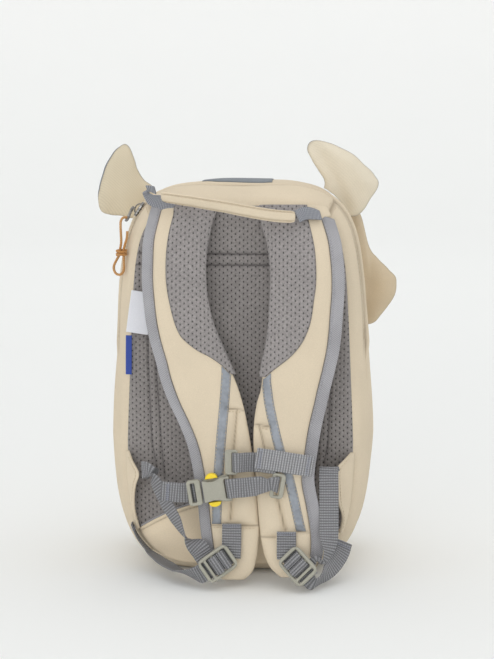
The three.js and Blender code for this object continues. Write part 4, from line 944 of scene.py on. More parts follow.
def pad_half(side, v, z):
    b = pad_from(side, z)
    k = np.clip((v - b) / (1 - b), 0, 1)
    end = mix(0.35, 1, np.sqrt(np.clip((z - STRAP_END[side]) / 14, 0, 1)))
    return (0.9 + (PAD_HALF - 0.9) * np.sqrt(np.maximum(1 - np.abs(2 * k - 1) ** 4, 0))) * taper_top(z) * end


def pleat_draw_and_shade(side, x, z):
    draw, mark, near = np.zeros(np.shape(x)), np.zeros(np.shape(x)), np.full(np.shape(x), 1e9)
    for line in PLEATS[side]:
        d = gap_to(line, x, z)
        near = np.minimum(near, d)
        draw = np.maximum(draw, 2.2 * np.exp(-((d / 1.4) ** 2)) + 1.3 * np.exp(-((d / 5) ** 2)))
        # mark: painted shade along each pleat's crease
        mark = np.maximum(mark, 0.55 * np.exp(-((d / 0.6) ** 2)))
    return draw, mark, near


def pad_front(side, v, z):
    """Height of the pad's face over its middle surface, with its pleats and puffs; and the painted shade along a
    pleat's crease.
    """
    b = pad_from(side, z)
    mid = strap_mid(side, v, z)
    draw, mark, near = pleat_draw_and_shade(side, mid[..., 0], mid[..., 2])
    kk = np.clip((v - b) / (1 - b), 0, 1)
    inside = np.clip(4 * kk * (1 - kk), 0, 1) ** 0.6
    low_part = smooth(150, 120, z)
    puff = inside * (low_part * 1.3 * (1 - np.exp(-((near / 8) ** 2))) + 0.4 * waves(mid, 34, 3 if side == "left" else 4) * mix(0.35, 1, low_part))
    return np.maximum(pad_half(side, v, z) - draw * inside, 0.35) + puff, mark, inside, kk


def on_pad(side, x, z, lift=0.0):
    r = STRAP[side].at(z)
    v = np.clip((x - r[..., 1]) / (r[..., 2] - r[..., 1]), 0.02, 0.985)
    n, _ = strap_axes(side, v, z)
    return strap_mid(side, v, z) + n * (pad_front(side, v, z)[0] + lift)[..., None], n


def loft(rings):
    """A closed solid through closed rings of points, capped at both ends: verts, faces."""
    rows, columns = rings.shape[:2]
    verts = np.concatenate([rings.reshape(-1, 3), rings[:1].mean(1), rings[-1:].mean(1)])
    j = np.arange(columns)
    k = (j + 1) % columns
    n = rows * columns
    caps = np.concatenate([np.stack([k, j, np.full(columns, n)], 1), np.stack([(rows - 1) * columns + j, (rows - 1) * columns + k, np.full(columns, n + 1)], 1)])
    return verts, [grid_faces(rows, columns, True), caps]


def run_along(points):
    return np.concatenate([[0], np.cumsum(np.linalg.norm(np.diff(points, axis=0), axis=1))])


strap_lines, pleat_lines = [], []
for side in ("left", "right"):
    end = STRAP_END[side]
    # pad
    k = np.linspace(0, 1, 236)
    z = (mix(STRAP_TOP, end + 0.3, k) - 1.2 * np.sin(np.pi * 2 * k) * 0.2)[:, None]
    b = pad_from(side, z)
    v = b + (1 - b) * (0.5 - 0.5 * np.cos(np.pi * np.linspace(0, 1, 50)))[None]
    z = np.broadcast_to(z, v.shape)
    mid = strap_mid(side, v, z)
    n, across = strap_axes(side, v, z)
    half = pad_half(side, v, z)
    height, mark, inside, kk = pad_front(side, v, z)
    front = mid + n * height[..., None]
    back = mid - n * (half * 0.9 + 0.25 * waves(mid, 40, 9) * inside)[..., None]
    vv, ff = slab(front, back)
    # painted shade in the crease where the pad meets its binding
    crease = 0.12 * np.exp(-((kk * (1 - b) * strap_width(side, z) / 0.9) ** 2))
    pad = build(f"strap_{side}_pad_cloth", vv, ff, materials=[BEIGE], seam=np.concatenate([np.maximum(mark, crease).ravel(), 0 * mark.ravel()]))
    piece(pad, "beige", f"strap_{side}_pad")
    # perforated upper face, turned round the inner edge to the underside
    z = np.linspace(STRAP_TOP - 0.2, MESH_FOOT[side], 132)[:, None]
    r = STRAP[side].at(z)
    v_edge = (MESH_EDGE[side].get("x", np.minimum(z, 286)) - r[..., 1]) / (r[..., 2] - r[..., 1])
    v = mix(np.minimum(v_edge, 0.955), 0.985, np.linspace(0, 1, 44)[None])
    zf = np.broadcast_to(z, v.shape)
    width = strap_width(side, zf)
    mid = strap_mid(side, v, zf)
    n, across = strap_axes(side, v, zf)
    half = pad_half(side, v, zf)
    turn = np.linspace(0.5, -0.5, 9)[1:-1] * np.pi
    ze = np.broadcast_to(z, (len(z), 7))
    ve = np.full(ze.shape, 0.985)
    mid_e, (n_e, across_e), half_e = strap_mid(side, ve, ze), strap_axes(side, ve, ze), pad_half(side, ve, ze)
    vb = mix(0.985, 0.8, np.linspace(0, 1, 10)[None]) + 0 * z
    zb = np.broadcast_to(z, vb.shape)
    mid_b, (n_b, across_b), half_b = strap_mid(side, vb, zb), strap_axes(side, vb, zb), pad_half(side, vb, zb) * 0.9

    def skin(lift, dimple):
        rim = 0.55 * np.exp(-(((v - v[:, :1]) * width / 1.1) ** 2)) * (lift > 1)
        a = mid + n * (half + lift - rim)[..., None]
        c = mid_e + across_e * ((half_e + lift) * np.cos(turn)[None] + 0.4)[..., None] + n_e * ((half_e + lift) * np.sin(turn)[None])[..., None]
        d = mid_b - n_b * (half_b + lift)[..., None]
        return np.concatenate([a - n * dimple[:, : a.shape[1], None], c, d], 1)

    plain = skin(1.15, np.zeros(v.shape))
    arc = np.concatenate([np.zeros((len(z), 1)), np.cumsum(np.linalg.norm(np.diff(plain, axis=1), axis=2), 1)], 1)
    u = plain[:, :1, 0] + np.sign(across[:, :1, 0]) * arc
    outer, inner = skin(1.15, 0.32 * np.exp(-((to_hole(u[:, : v.shape[1]], zf) / 0.65) ** 2))), skin(0.45, np.zeros(v.shape))
    vv, ff = slab(outer, inner)
    uv = np.stack([u, np.broadcast_to(z, u.shape)], -1).reshape(-1, 2)
    # darker along the mesh's sewn edge: a seam line, and painted shade where the mesh tucks under the pad
    near = np.exp(-(((v - v[:, :1]) * width / 0.8) ** 2)) * 0.5
    mark = np.concatenate([near, np.zeros((len(z), 17))], 1).ravel()
    mesh = build(f"strap_{side}_mesh_cloth", vv, ff, uv=np.concatenate([uv, uv]), materials=[MESH_STRAP], seam=np.concatenate([mark, 0 * mark]))
    piece(mesh, "mesh", f"strap_{side}_mesh")
    # binding rolled over the outer edge
    z = np.linspace(STRAP_TOP - BINDING_TUCK[side], end + 11, 170)
    a = np.arange(30) / 30 * TAU
    u = 0.5 + 0.5 * np.sign(np.cos(a)) * np.abs(np.cos(a)) ** 0.55
    h = np.sign(np.sin(a)) * np.abs(np.sin(a)) ** 0.5
    width, out = BINDING_WIDTH[side], BINDING_OUT[side]
    bound = (width / strap_width(side, z))[:, None]
    vb = u[None] * bound - (out / strap_width(side, z))[:, None]
    slant = 0.35 * BINDING_TUCK[side] * smooth(z[0] - 16, z[0], z)
    zb = z[:, None] - slant[:, None] * (1 - u[None])
    nb, ab = strap_axes(side, vb, zb)
    fat = (BINDING_HALF * 1.05 * mix(0.5, 1, taper_top(zb))) * (1 + 0.06 * waves(strap_mid(side, vb, zb), 22, 15)) * mix(0.5, 1, smooth(end + 11, end + 17, zb))
    line_at = 0.85
    dent = 0.28 * np.exp(-(((u[None] - line_at) * width / 0.7) ** 2)) * (h[None] > 0)
    rings = strap_mid(side, vb, zb) + nb * (h[None] * fat - dent)[..., None]
    vv, ff = loft(rings)
    run = run_along(strap_mid(side, bound[:, 0] * 0.5, z))
    uv = np.stack([np.broadcast_to((u * width + (h < 0) * 3)[None], vb.shape), np.broadcast_to(run[:, None], vb.shape)], -1).reshape(-1, 2)
    mark = np.broadcast_to((0.2 * np.exp(-(((u - line_at) * width / 0.5) ** 2)) * (h > 0))[None], vb.shape).ravel()
    binding = build(f"strap_{side}_binding_tape", vv, ff, uv=np.concatenate([uv, [[4, 0], [4, run[-1]]]]), materials=[TWILL], seam=np.append(mark, [0, 0]))
    piece(binding, "twill", f"strap_{side}_binding")
    zs = np.linspace(STRAP_TOP - 6 - BINDING_TUCK[side], end + 16, 700)
    vs = (line_at * width - out) / strap_width(side, zs)
    ns, _ = strap_axes(side, vs, zs)
    hs = BINDING_HALF * 1.05 * mix(0.5, 1, taper_top(zs)) * (abs(math.sin(math.acos(min(1, ((line_at - 0.5) / 0.5) ** (1 / 0.55))))) ** 0.5)
    strap_lines.append((strap_mid(side, vs, zs) + ns * (hs - 0.1)[:, None], ns))
    # reflective strip
    table = REFLECTOR[side]
    off = np.linspace(-1, 1, 9)[None] * REFLECTOR_HALF
    edge = MESH_EDGE[side].a[:4]  # the strip's upper end follows the edge of the perforated face
    order = np.argsort(edge[:, 1])
    top = np.interp(table.get("x", 168.0) + off, edge[order, 1], edge[order, 0]) - 0.5
    zz = mix(top, table.a[0, 0], np.linspace(0, 1, 174)[:, None])
    z = zz[:, 4:5]
    x = table.get("x", zz) + off
    flat = np.stack([x, zz], -1)
    rise = 0.75 + 0.14 * waves(flat, 9, 21) + 0.1 * waves(flat, 4.5, 22) - 0.3 * np.abs(off / REFLECTOR_HALF) ** 6
    hi, _ = on_pad(side, x, zz, rise)
    lo, _ = on_pad(side, x, zz, -0.15)
    vv, ff = slab(hi, lo)
    uv = np.stack([np.broadcast_to(off, x.shape), zz], -1).reshape(-1, 2)
    strip = build(f"strap_{side}_reflector_tape", vv, ff, uv=np.concatenate([uv, uv]), materials=[REFLECT])
    piece(strip, "reflector", f"strap_{side}_reflector")
    for s in (-1, 1):
        z1 = z[:, 0]
        x1 = table.get("x", z1) + s * (REFLECTOR_HALF - 0.7)
        p1, n1 = on_pad(side, x1, z1, 0.8)
        pleat_lines.append((p1[2:-2], n1[2:-2]))
    for line in PLEATS[side][:1] + PLEATS[side][2:3]:
        p1 = spline([(q[0], 0, q[1]) for q in line] if len(line) > 2 else [(line[0][0], 0, line[0][1]), ((line[0][0] + line[1][0]) / 2, 0, (line[0][1] + line[1][1]) / 2), (line[1][0], 0, line[1][1])], np.linspace(0.05, 0.95, 60))
        q1, n1 = on_pad(side, p1[:, 0], p1[:, 2] - 1.9, 0.1)
        pleat_lines.append((q1, n1))
stitches("strap_binding_stitches", strap_lines, THREAD_GREY, "twill", 2.1, 0.9, 0.5, 0.4)
stitches("strap_seam_stitches", pleat_lines, THREAD_BEIGE, "beige", 1.9, 0.9, 0.45, 0.4)


# ---- webbing -------------------------------------------------------------------------
WEB, WEB_THICK, CRUMPLE = 15.0, 1.3, 0.7


class Local:
    """A frame on a small hard piece: l along it, w across it, n out of its face."""

    def __init__(self, origin, along, across):
        self.o = np.array(origin, float)
        self.l = unit(np.array(along, float))
        w = np.array(across, float)
        self.w = unit(w - self.l * (w @ self.l))
        n = np.cross(self.l, self.w)
        self.n = -n if n[1] > 0 else n

    def point(self, l, n, w=0.0):
        return self.o + np.multiply.outer(l, self.l) + np.multiply.outer(n, self.n) + np.multiply.outer(w, self.w)

    def rows(self, places, side):
        return [list(self.point(l, n)) + list(side) for l, n in places]


def band_course(rows, width, steps):
    rows = np.array(rows, float)
    t = np.linspace(0, 1, steps + 1)
    c = spline(rows[:, :3], t)
    f = t * (len(rows) - 1)
    i = np.minimum(f.astype(int), len(rows) - 2)
    s = mix(rows[i, 3:], rows[i + 1, 3:], (f - i)[:, None])
    e = 1e-4
    tangent = lambda q: unit(spline(rows[:, :3], np.clip(q + e, 0, 1)) - spline(rows[:, :3], np.clip(q - e, 0, 1)))
    d = tangent(t)
    s = unit(s - d * (s * d).sum(1, keepdims=True))
    n = np.cross(d, s)
    h = 0.5 / 120
    a, b = np.maximum(t - h, 0), np.minimum(t + h, 1)
    turn = ((tangent(b) - tangent(a)) * s).sum(1) / np.linalg.norm(spline(rows[:, :3], b) - spline(rows[:, :3], a), axis=1)
    reach = []
    step = np.linalg.norm(np.diff(c, axis=0), axis=1)
    for sign in (-1, 1):
        r = np.where(turn * sign > 0, np.minimum(width / 2, CRUMPLE / np.maximum(np.abs(turn), 1e-9)), width / 2)
        for k in range(1, len(r)):
            r[k] = min(r[k], r[k - 1] + CRUMPLE * 0.5 * step[k - 1])
        for k in range(len(r) - 1, 0, -1):
            r[k - 1] = min(r[k - 1], r[k] + CRUMPLE * 0.5 * step[k - 1])
        reach.append(r)
    return c, s, n, reach


def webbing_strip(rows, width=WEB, thick=WEB_THICK, rib=2.05, warp=1.9, step=0.42, columns=17, seams=(), weave=0.2):
    """Ribbed webbing along rows (x y z and the direction of its width): verts, faces, uv, seam, course."""
    rough = spline(np.array(rows, float)[:, :3], np.linspace(0, 1, 400))
    steps = max(int(run_along(rough)[-1] / step), 12)
    c, s, n, (low, high) = band_course(rows, width, steps)
    run = run_along(c)
    u = np.sin(np.linspace(-1, 1, columns) * 1.35) / math.sin(1.35)
    place = np.where(u[None] < 0, u[None] * low[:, None], u[None] * high[:, None])
    mm = u * width / 2
    ridge = weave * (0.6 * np.sin(run * TAU / rib)[:, None] + 0.4 * np.sin(mm * TAU / warp)[None])
    edge = np.sqrt(np.maximum(1 - np.abs(u) ** 10, 0))[None]
    mark = np.zeros((len(run), columns))
    for at in seams:
        mark = np.maximum(mark, np.broadcast_to((np.abs(run - at) < 1.1)[:, None] * 0.8 * (np.abs(u) < 0.93)[None], mark.shape))
    half = thick / 2 * (0.35 + 0.65 * edge) + ridge * edge + 0.16 * mark
    mid = c[:, None] + s[:, None] * place[..., None]
    vv, ff = slab(mid + n[:, None] * half[..., None], mid - n[:, None] * half[..., None])
    uv = np.stack([np.broadcast_to(mm[None], place.shape), np.broadcast_to(run[:, None], place.shape)], -1).reshape(-1, 2)
    return vv, ff, np.concatenate([uv, uv]), np.concatenate([mark.ravel(), mark.ravel()]), (c, s, n, run)


def webbing_piece(name, rows, *nodes, material=None, slot="webbing", **sizes):
    vv, ff, uv, mark, course = webbing_strip(rows, **sizes)
    o = build(name, vv, ff, uv=uv, materials=[material or WEB_CLOTH], seam=mark)
    piece(o, slot, *nodes)
    return o, course


def bar_tack(course, at, width, rows=3, spread=1.9, lift=0.9):
    """Zigzag bar-tacks across a strip: lines for stitches()."""
    c, s, n, run = course
    lines = []
    for k in np.linspace(-spread / 2, spread / 2, rows):
        i = int(np.argmin(np.abs(run - (at + k))))
        w = np.linspace(-0.46, 0.46, 40) * width
        for sign in (1, -1):
            lines.append((c[i] + s[i] * w[:, None] + n[i] * sign * lift, n[i] * sign))
    return lines


LOCK = {
    "left": Local([-14.5, -116.5, 21], [-21.5, -6, -14.5], [8.9, 0, -15.8]),
    "right": Local([47.5, -119, 20.4], [16.25, -8, -16.15], [-9.2, 0, -11.2]),
}
ADJUSTER = {
    "left": [
        [-76, -83.5, 86.5, 0.2, -0.2, -0.95], [-70.5, -89.5, 87, 0.4, -0.3, -0.85], [-65.6, -93.5, 82, 0.62, -0.6, -0.45], [-61, -96.5, 74, 0.68, -0.68, 0.05],
        [-55, -100, 63.5, 0.68, -0.66, 0.28], [-48, -103.5, 52.5, 0.6, -0.74, 0.28], [-39.8, -107, 39, 0.2, -0.96, 0.1],
    ],
    "right": [
        [72, -86.4, 88, 0.9, 0.3, -0.2], [71, -91, 92, 1, 0.1, 0], [70.8, -96, 86, 1, 0, 0], [71, -98.5, 75.9, 1, 0, 0], [71.2, -103, 53.3, 1, 0, 0],
        [71.2, -107, 38, 0.9, 0.4, 0], [69.8, -110, 29, 0.65, 0.7, -0.2], [66.6, -112.8, 23, 0.55, 0.65, -0.45],
    ],
}
TAIL = {
    "left": [
        [-37, -107, 9.2, -0.5, -0.5, 0.6], [-46, -98, 9.6, -0.5, -0.82, 0.2], [-55, -87, 11, -0.3, -0.95, 0.05], [-64, -76, 13.4, -0.1, -0.99, 0],
        [-73.5, -68.5, 18.5, 0.08, -1, 0], [-82.5, -66.5, 29.6, 0.1, -1, 0], [-86.6, -66, 39.5, 0.1, -1, 0],
    ],
    "right": [[67.5, -109.5, 11, -0.3, -0.1, -0.85], [75.4, -99, 17.6, 0.45, 0, -0.85], [80.4, -90, 24.4, 0.7, -0.05, -0.7], [82.6, -83, 31, 0.8, -0.1, -0.55]],
}
THROUGH = [[13.4, -3.2], [11, -3.1], [7.4, -3.05], [4.8, -1.7], [4.1, 1.2], [2.6, 2.9], [-0.4, 2.85], [-1.5, 1.2], [-1.45, -1.7], [1.3, -4.7], [8, -5.6], [16.5, -6.6]]
FOLD = {"left": [[-17, -6.6], [-10, -6.4], [-4, -6.3]], "right": [[-13, -6.6], [-8, -6.4], [-3, -6.3]]}
TAB = {
    "left": [[-4.1, -107, 50.5, 1, 0, 0], [-4.1, -108.2, 40, 1, 0, 0], [-4.3, -109.6, 30, 1, 0, 0], [-4.6, -110.3, 24, 1, 0, 0]],
    "right": [[38.4, -108.6, 45, 1, 0, 0], [38.4, -109.4, 38, 1, 0, 0], [38.4, -110.7, 30, 1, 0, 0], [38.6, -111.7, 24, 1, 0, 0]],
}
AROUND_BAR = [[-11.6, -3.6], [-8, -3.5], [-5, -3.35], [-3.6, -2.4], [-3.3, -0.8], [-3.25, 1.4], [-4.4, 2.95], [-6.5, 2.95], [-7.8, 1.4], [-7.9, -1]]


def webbing_runs(name, runs, node, material=None, **sizes):
    """Several runs of one webbing that is folded flat where they meet, as one piece; gives their courses."""
    made = [webbing_strip(rows, **sizes) for rows in runs]
    vv, ff = joined([m[:2] for m in made])
    o = build(name, vv, ff, uv=np.concatenate([m[2] for m in made]), materials=[material or WEB_CLOTH], seam=np.concatenate([m[3] for m in made]))
    piece(o, "webbing", node)
    return [m[4] for m in made]


tacks = []
for side, sign in (("left", 1), ("right", -1)):
    f = LOCK[side]
    fold = [list(f.point(5.2, n, w)) + list(f.l) for w, n in FOLD[side]]
    _, course = webbing_runs(f"adjuster_{side}_web", [ADJUSTER[side] + fold, f.rows(THROUGH, -sign * f.w) + TAIL[side]], f"adjuster_{side}")
    tacks += bar_tack(course, course[3][-1] - 4, WEB, 2, 1.4)
    course, _ = webbing_runs(f"strap_{side}_tab_web", [TAB[side], f.rows(AROUND_BAR, f.w)], f"strap_{side}_tab")
    tacks += bar_tack(course, 2.0, WEB, 2, 1.2)

# ---- hard pieces -----------------------------------------------------------------------
def rounded(x0, x1, y0, y1, r, grow=0.0, segments=5):
    x0, x1, y0, y1 = x0 - grow, x1 + grow, y0 - grow, y1 + grow
    r = max(r + grow, 0.15)
    points = []
    for cx, cy, start in ((x1 - r, y1 - r, 0), (x0 + r, y1 - r, 90), (x0 + r, y0 + r, 180), (x1 - r, y0 + r, 270)):
        for k in range(segments + 1):
            a = math.radians(start + 90 * k / segments)
            points.append((cx + r * math.cos(a), cy + r * math.sin(a)))
    return points


def smooth_loop(points, per=6):
    """A closed smooth loop through corner points."""
    P = np.array(points, float)
    n = len(P)
    out = []
    for i in range(n):
        p0, p1, p2, p3 = P[i - 1], P[i], P[(i + 1) % n], P[(i + 2) % n]
        for k in range(per):
            t = k / per
            out.append(0.5 * (2 * p1 + (p2 - p0) * t + (2 * p0 - 5 * p1 + 4 * p2 - p3) * t * t + (3 * p1 - p0 - 3 * p2 + p3) * t**3))
    return [tuple(p) for p in out]


def moulding(name, loops, low, high, local, material, bevel=0.6, crown=None):
    """A plate drawn in (l, w) with round edges, raised along n from low to high; loops are already drawn smaller by bevel (holes larger)."""
    data = bpy.data.curves.new(name + "_outline", "CURVE")
    data.dimensions, data.fill_mode = "2D", "BOTH"
    data.extrude = max((high - low) / 2 - bevel, 0.02) * MM
    data.bevel_depth, data.bevel_resolution = bevel * MM, 3
    for loop in loops:
        sp = data.splines.new("POLY")
        sp.points.add(len(loop) - 1)
        for p, (x, y) in zip(sp.points, loop):
            p.co = (x * MM, y * MM, 0, 1)
        sp.use_cyclic_u = True
    maker = bpy.data.objects.new(name + "_outline", data)
    SCENE.collection.objects.link(maker)
    bpy.context.view_layer.update()
    me = bpy.data.meshes.new_from_object(maker.evaluated_get(bpy.context.evaluated_depsgraph_get()))
    bpy.data.objects.remove(maker)
    bpy.data.curves.remove(data)
    flat = np.empty(len(me.vertices) * 3)
    me.vertices.foreach_get("co", flat)
    p = flat.reshape(-1, 3) / MM
    h = p[:, 2] + (low + high) / 2
    if crown is not None:
        h = h + crown(p[:, 0], p[:, 1]) * np.where(p[:, 2] > 0, 1, 0)
    world = local.point(p[:, 0], h, p[:, 1]) * MM
    me.vertices.foreach_set("co", world.astype(np.float32).ravel())
    bm = bmesh.new()
    bm.from_mesh(me)
    bmesh.ops.remove_doubles(bm, verts=bm.verts, dist=2e-6)
    bmesh.ops.recalc_face_normals(bm, faces=bm.faces)
    bmesh.ops.triangulate(bm, faces=[q for q in bm.faces if len(q.verts) > 4])
    bm.to_mesh(me)
    bm.free()
    me.name = name
    me.materials.clear()
    me.materials.append(material)
    o = bpy.data.objects.new(name, me)
    SCENE.collection.objects.link(o)
    me.polygons.foreach_set("use_smooth", np.ones(len(me.polygons), bool))
    sharp = o.modifiers.new("edges", "WEIGHTED_NORMAL")
    sharp.keep_sharp = False
    return o


def rod(local, ends, width, thick, around=14):
    """A short rounded bar in a local frame between two (l, n, w) points: verts, faces."""
    a, b = (local.point(*e) for e in ends)
    t = np.array([0, 0.02, 0.06, 0.12, 0.5, 0.88, 0.94, 0.98, 1])
    fat = np.array([0.55, 0.82, 0.96, 1, 1, 1, 0.96, 0.82, 0.55])
    line = a + (b - a) * t[:, None]
    return tube_solid(line, np.broadcast_to(local.l, line.shape), width * fat, thick * fat, around)


# Ladder locks: a frame with round cross bars.
for side in ("left", "right"):
    f = LOCK[side]
    B = 0.75
    loops = [rounded(-13.5, 13.5, -10.5, 10.5, 5.2, -B, 8)]
    for x0, x1 in ((-10.6, -6.6), (-4.4, 0), (2.2, 6.4), (8.6, 10.8)):
        loops.append(rounded(x0, x1, -7.9, 7.9, 0.9, B))
    lock = moulding(f"ladder_lock_{side}_body", loops, -1.7, 1.7, f, PLASTIC, B, lambda l, w: 0.4 * np.exp(-(((np.abs(l) - 12) / 1.1) ** 2)) + 0.4 * np.exp(-(((np.abs(w) - 9.2) / 0.8) ** 2)))
    piece(lock, "plastic", f"ladder_lock_{side}")

BUCKLE = Local([-20.7, -111, 77.7], [34, 0, 5.5], [-5.5, 0, 34])
B = 1.1
half_body = [(-6, 8.6), (-3.8, 9.7), (-1.6, 9.2), (2.6, 8.6), (6.8, 9.3), (10, 10.4), (14.6, 10.8), (17.2, 9.6)]
body_loop = smooth_loop([(l, w - B) for l, w in half_body] + [(17.2 - B, 0)] + [(l, -w + B) for l, w in half_body[::-1]] + [(-6 + B, 0)], 5)
body_loop = [(min(max(l, -6 + B), 17.2 - B), w) for l, w in body_loop]
body = moulding("buckle_body_shell", [body_loop, rounded(11.6, 15, -8, 8, 1.2, B * 0.6)], -4, 4, BUCKLE, PLASTIC, B, lambda l, w: 0.8 * np.exp(-((l - 3) / 6) ** 2) * np.maximum(1 - (w / 10) ** 2, 0) - 0.7 * np.exp(-(((l - 9.6) / 0.8) ** 2)))
piece(body, "plastic", "buckle_body")
plug = moulding("buckle_plug_shell", [rounded(-17.4, -6.5, -10, 10, 2.6, -0.8), rounded(-14.8, -10.8, -7.9, 7.9, 0.9, 0.5)], -2.3, 2.3, BUCKLE, PLASTIC, 0.8, lambda l, w: 0.5 * np.exp(-(((l + 8.4) / 1.2) ** 2)))
piece(plug, "plastic", "buckle_plug")
for name, sign in (("top", 1), ("bottom", -1)):
    arc = [(2.6 + 4.3 * math.cos(a), sign * (9.4 + 3.2 * math.sin(a))) for a in np.linspace(0.12, np.pi - 0.12, 18)]
    tab = moulding(f"buckle_tab_{name}_grip", [arc], -2.4, 2.4, BUCKLE, YELLOW, 0.5)
    piece(tab, "yellow", f"buckle_tab_{name}")

SLIDERS = {
    "left": (Local([-2.8, -110, 99.8], [1, 0, 0.02], [0, 0, 1]), -6.4, 3.8, (-1.5, 1.9)),
    "right": (Local([31.2, -110.2, 81.6], [1, 0, -0.16], [0, 0, 1]), -5.0, 5.6, (-2.4, 2.6)),
}
for side, (f, start, stop, hole) in SLIDERS.items():
    B = 0.9
    loops = [rounded(start, stop, -9.8, 9.8, 2.6, -B, 7), rounded(hole[0], hole[1], -8.1, 8.1, 0.8, 0.3)]
    o = moulding(f"sternum_slider_{side}_frame", loops, -1.6, 1.6, f, PLASTIC, B, lambda l, w: 0.9 * np.exp(-(((l + 4.0) / 1.7) ** 2)))
    piece(o, "plastic", f"sternum_slider_{side}")

left_slider, right_slider = SLIDERS["left"][0], SLIDERS["right"][0]
FLAP_WIDTH, CHEST_WIDTH = WEB + 1.4, WEB + 0.2
chest = {
    "sternum_lower": BUCKLE.rows([[13.2, -2.4], [13.4, 2.4], [14.6, 5.2], [18.4, 5.4]], BUCKLE.w) + [[6, -114.6, 81, -0.1, 0, 1], [16, -114, 82, -0.05, 0, 1], [24, -113.6, 82, 0, 0, 1]] + right_slider.rows([[-4.6, 2.9], [-1.2, 2.4], [0.6, 0], [0.4, -3.4]], right_slider.w),
    "sternum_tail": BUCKLE.rows([[-8.4, -3.8], [-10.2, -3.6], [-12.8, -2.5], [-15.4, -3.6], [-18, -3.9]], BUCKLE.w) + [[-44, -107.6, 74.8, -0.08, 0, 1], [-51, -107.8, 75.4, -0.04, 0, 1], [-59, -107.6, 76, 0, 0, 1]],
    "sternum_upper": left_slider.rows([[-0.2, -2.6], [0, 0], [0.8, 2.7], [4, 2.9]], left_slider.w) + [[9, -108.4, 99.6, 0, 0, 1], [20, -107, 99, 0, 0, 1], [32, -106.8, 98, -0.05, 0, 1]],
}
for name, rows in chest.items():
    _, course = webbing_piece(name + "_web", rows, name, width=CHEST_WIDTH)
    if name == "sternum_tail":
        tacks += bar_tack(course, course[3][-1] - 5.5, CHEST_WIDTH, 3, 1.8)
flap_rows = [[14.8, -112, 103.6, 0.1, 0, 1], [26, -110.6, 101.8, 0.1, 0, 1], [44, -109.4, 98.8, 0.1, 0, 1], [58.5, -107.6, 96.4, 0.08, 0, 1]]
under_rows = [[15.6, -110.2, 101, 0.1, 0, 1], [23, -109.4, 99.7, 0.1, 0, 1], [31, -109.2, 98.6, 0.1, 0, 1]]
# the flap is in the lighter copy of the webbing: painted light
course, _ = webbing_runs("sternum_flap_web", [flap_rows, under_rows], "sternum_flap", material=WEB_PAINTED_LIGHT, width=FLAP_WIDTH, thick=1.5, weave=0.15)
tacks += bar_tack(course, 3.2, FLAP_WIDTH, 3, 1.8) + bar_tack(course, course[3][-1] - 4, FLAP_WIDTH, 3, 1.8)
stitches("webbing_bar_tacks", tacks, THREAD_LIGHT, "webbing", 1.3, 0.35, 0.5, 0.45)


# ---- zipper ------------------------------------------------------------------------------
shares = np.linspace(0.262, 0.738, 260)
depths = np.linspace(-45, -27, 7)
high = np.stack([on_bag(shares, y, -WALL - 0.9) for y in depths])
low = np.stack([on_bag(shares, y, -WALL - 1.9) for y in depths])
v, f = slab(high, low)
tape = build("zipper_tape_cloth", v, f, materials=[TAPE_CLOTH])
piece(tape, "tape", "zipper_tape")
parts = []
ZIP_LINE = on_bag(np.linspace(0.281, 0.719, 2400), -36.0, -1.5)
run = run_along(ZIP_LINE)
for k, at in enumerate(np.arange(1.0, run[-1] - 1, 1.35)):
    if abs(mix(0.281, 0.719, at / run[-1]) - 0.5) < 0.08:  # under the flap
        continue
    c = np.array([np.interp(at, run, ZIP_LINE[:, j]) for j in range(3)])
    d = np.array([np.interp(at + 0.5, run, ZIP_LINE[:, j]) for j in range(3)]) - c
    d = unit(d)
    sign = 1 if k % 2 else -1
    line = c + np.array([[0, 0, 0], [0, 1, 0], [0, 2, 0], [0, 3.1, 0]]) * np.array([1, sign, 1]) + np.array([0, -0.5 * sign, 0])
    parts.append(tube_solid(line, np.broadcast_to(d, line.shape), np.array([1.5, 1.15, 1.0, 1.1]), np.array([1.5, 1.5, 1.4, 1.2]), 6))
v, f = joined(parts)
teeth = build("zipper_teeth_row", v, f, materials=[METAL_DARK])
piece(teeth, "metal", "zipper_teeth")
SLIDER_AT = 0.595
p, q = on_bag(np.array([SLIDER_AT]), -36.0)[0], on_bag(np.array([SLIDER_AT + 0.004]), -36.0)[0]
along = unit(q - p)
outward = np.array([-along[2], 0, along[0]])
outward = outward if outward @ np.array([p[0], 0, p[2] - 150]) > 0 else -outward


class SliderFrame(Local):
    def __init__(self):
        self.o, self.l, self.w, self.n = p, along, np.array([0.0, 1, 0]), outward


slide = SliderFrame()
slider_loop = smooth_loop([(-5.9, 0), (-5.2, 3.0), (-2, 3.9), (1.5, 3.5), (4.6, 3.9), (5.9, 2.2), (5.6, 0), (5.9, -2.2), (4.6, -3.9), (1.5, -3.5), (-2, -3.9), (-5.2, -3.0)], 4)
slider = moulding("zipper_slider_body", [slider_loop], GAP, 2.6, slide, METAL, 0.5)
bridge = tube_solid(slide.point(np.array([-4.2, -3.4, -1.5, 1.0, 3.4, 4.6]), np.array([2.2, 3.9, 4.9, 5.0, 4.0, 2.2]), np.zeros(6)), np.broadcast_to([0.0, 1, 0], (6, 3)), 2.6, 1.1, 10)
v, f = bridge
bridge_o = build("zipper_slider_bridge", v, f, materials=[METAL])
piece(slider, "metal", "zipper_slider")
piece(bridge_o, "metal")
top, foot_at = slide.point(1.0, 6.4, -4.6), np.array([-91.0, -47.0, 280.6])
reach = np.linalg.norm(foot_at - top) / 2
pull_frame = Local((top + foot_at) / 2, foot_at - top, [0.6, -0.5, 0.6])
half_pull = [(-reach, 1.6), (-reach + 2, 2.3), (-2, 1.7), (2, 1.9), (reach - 4, 3.0), (reach - 1, 2.6), (reach, 1.4)]
pull_loop = smooth_loop([(l, w - 0.35) for l, w in half_pull] + [(l, -w + 0.35) for l, w in half_pull[::-1]], 4)
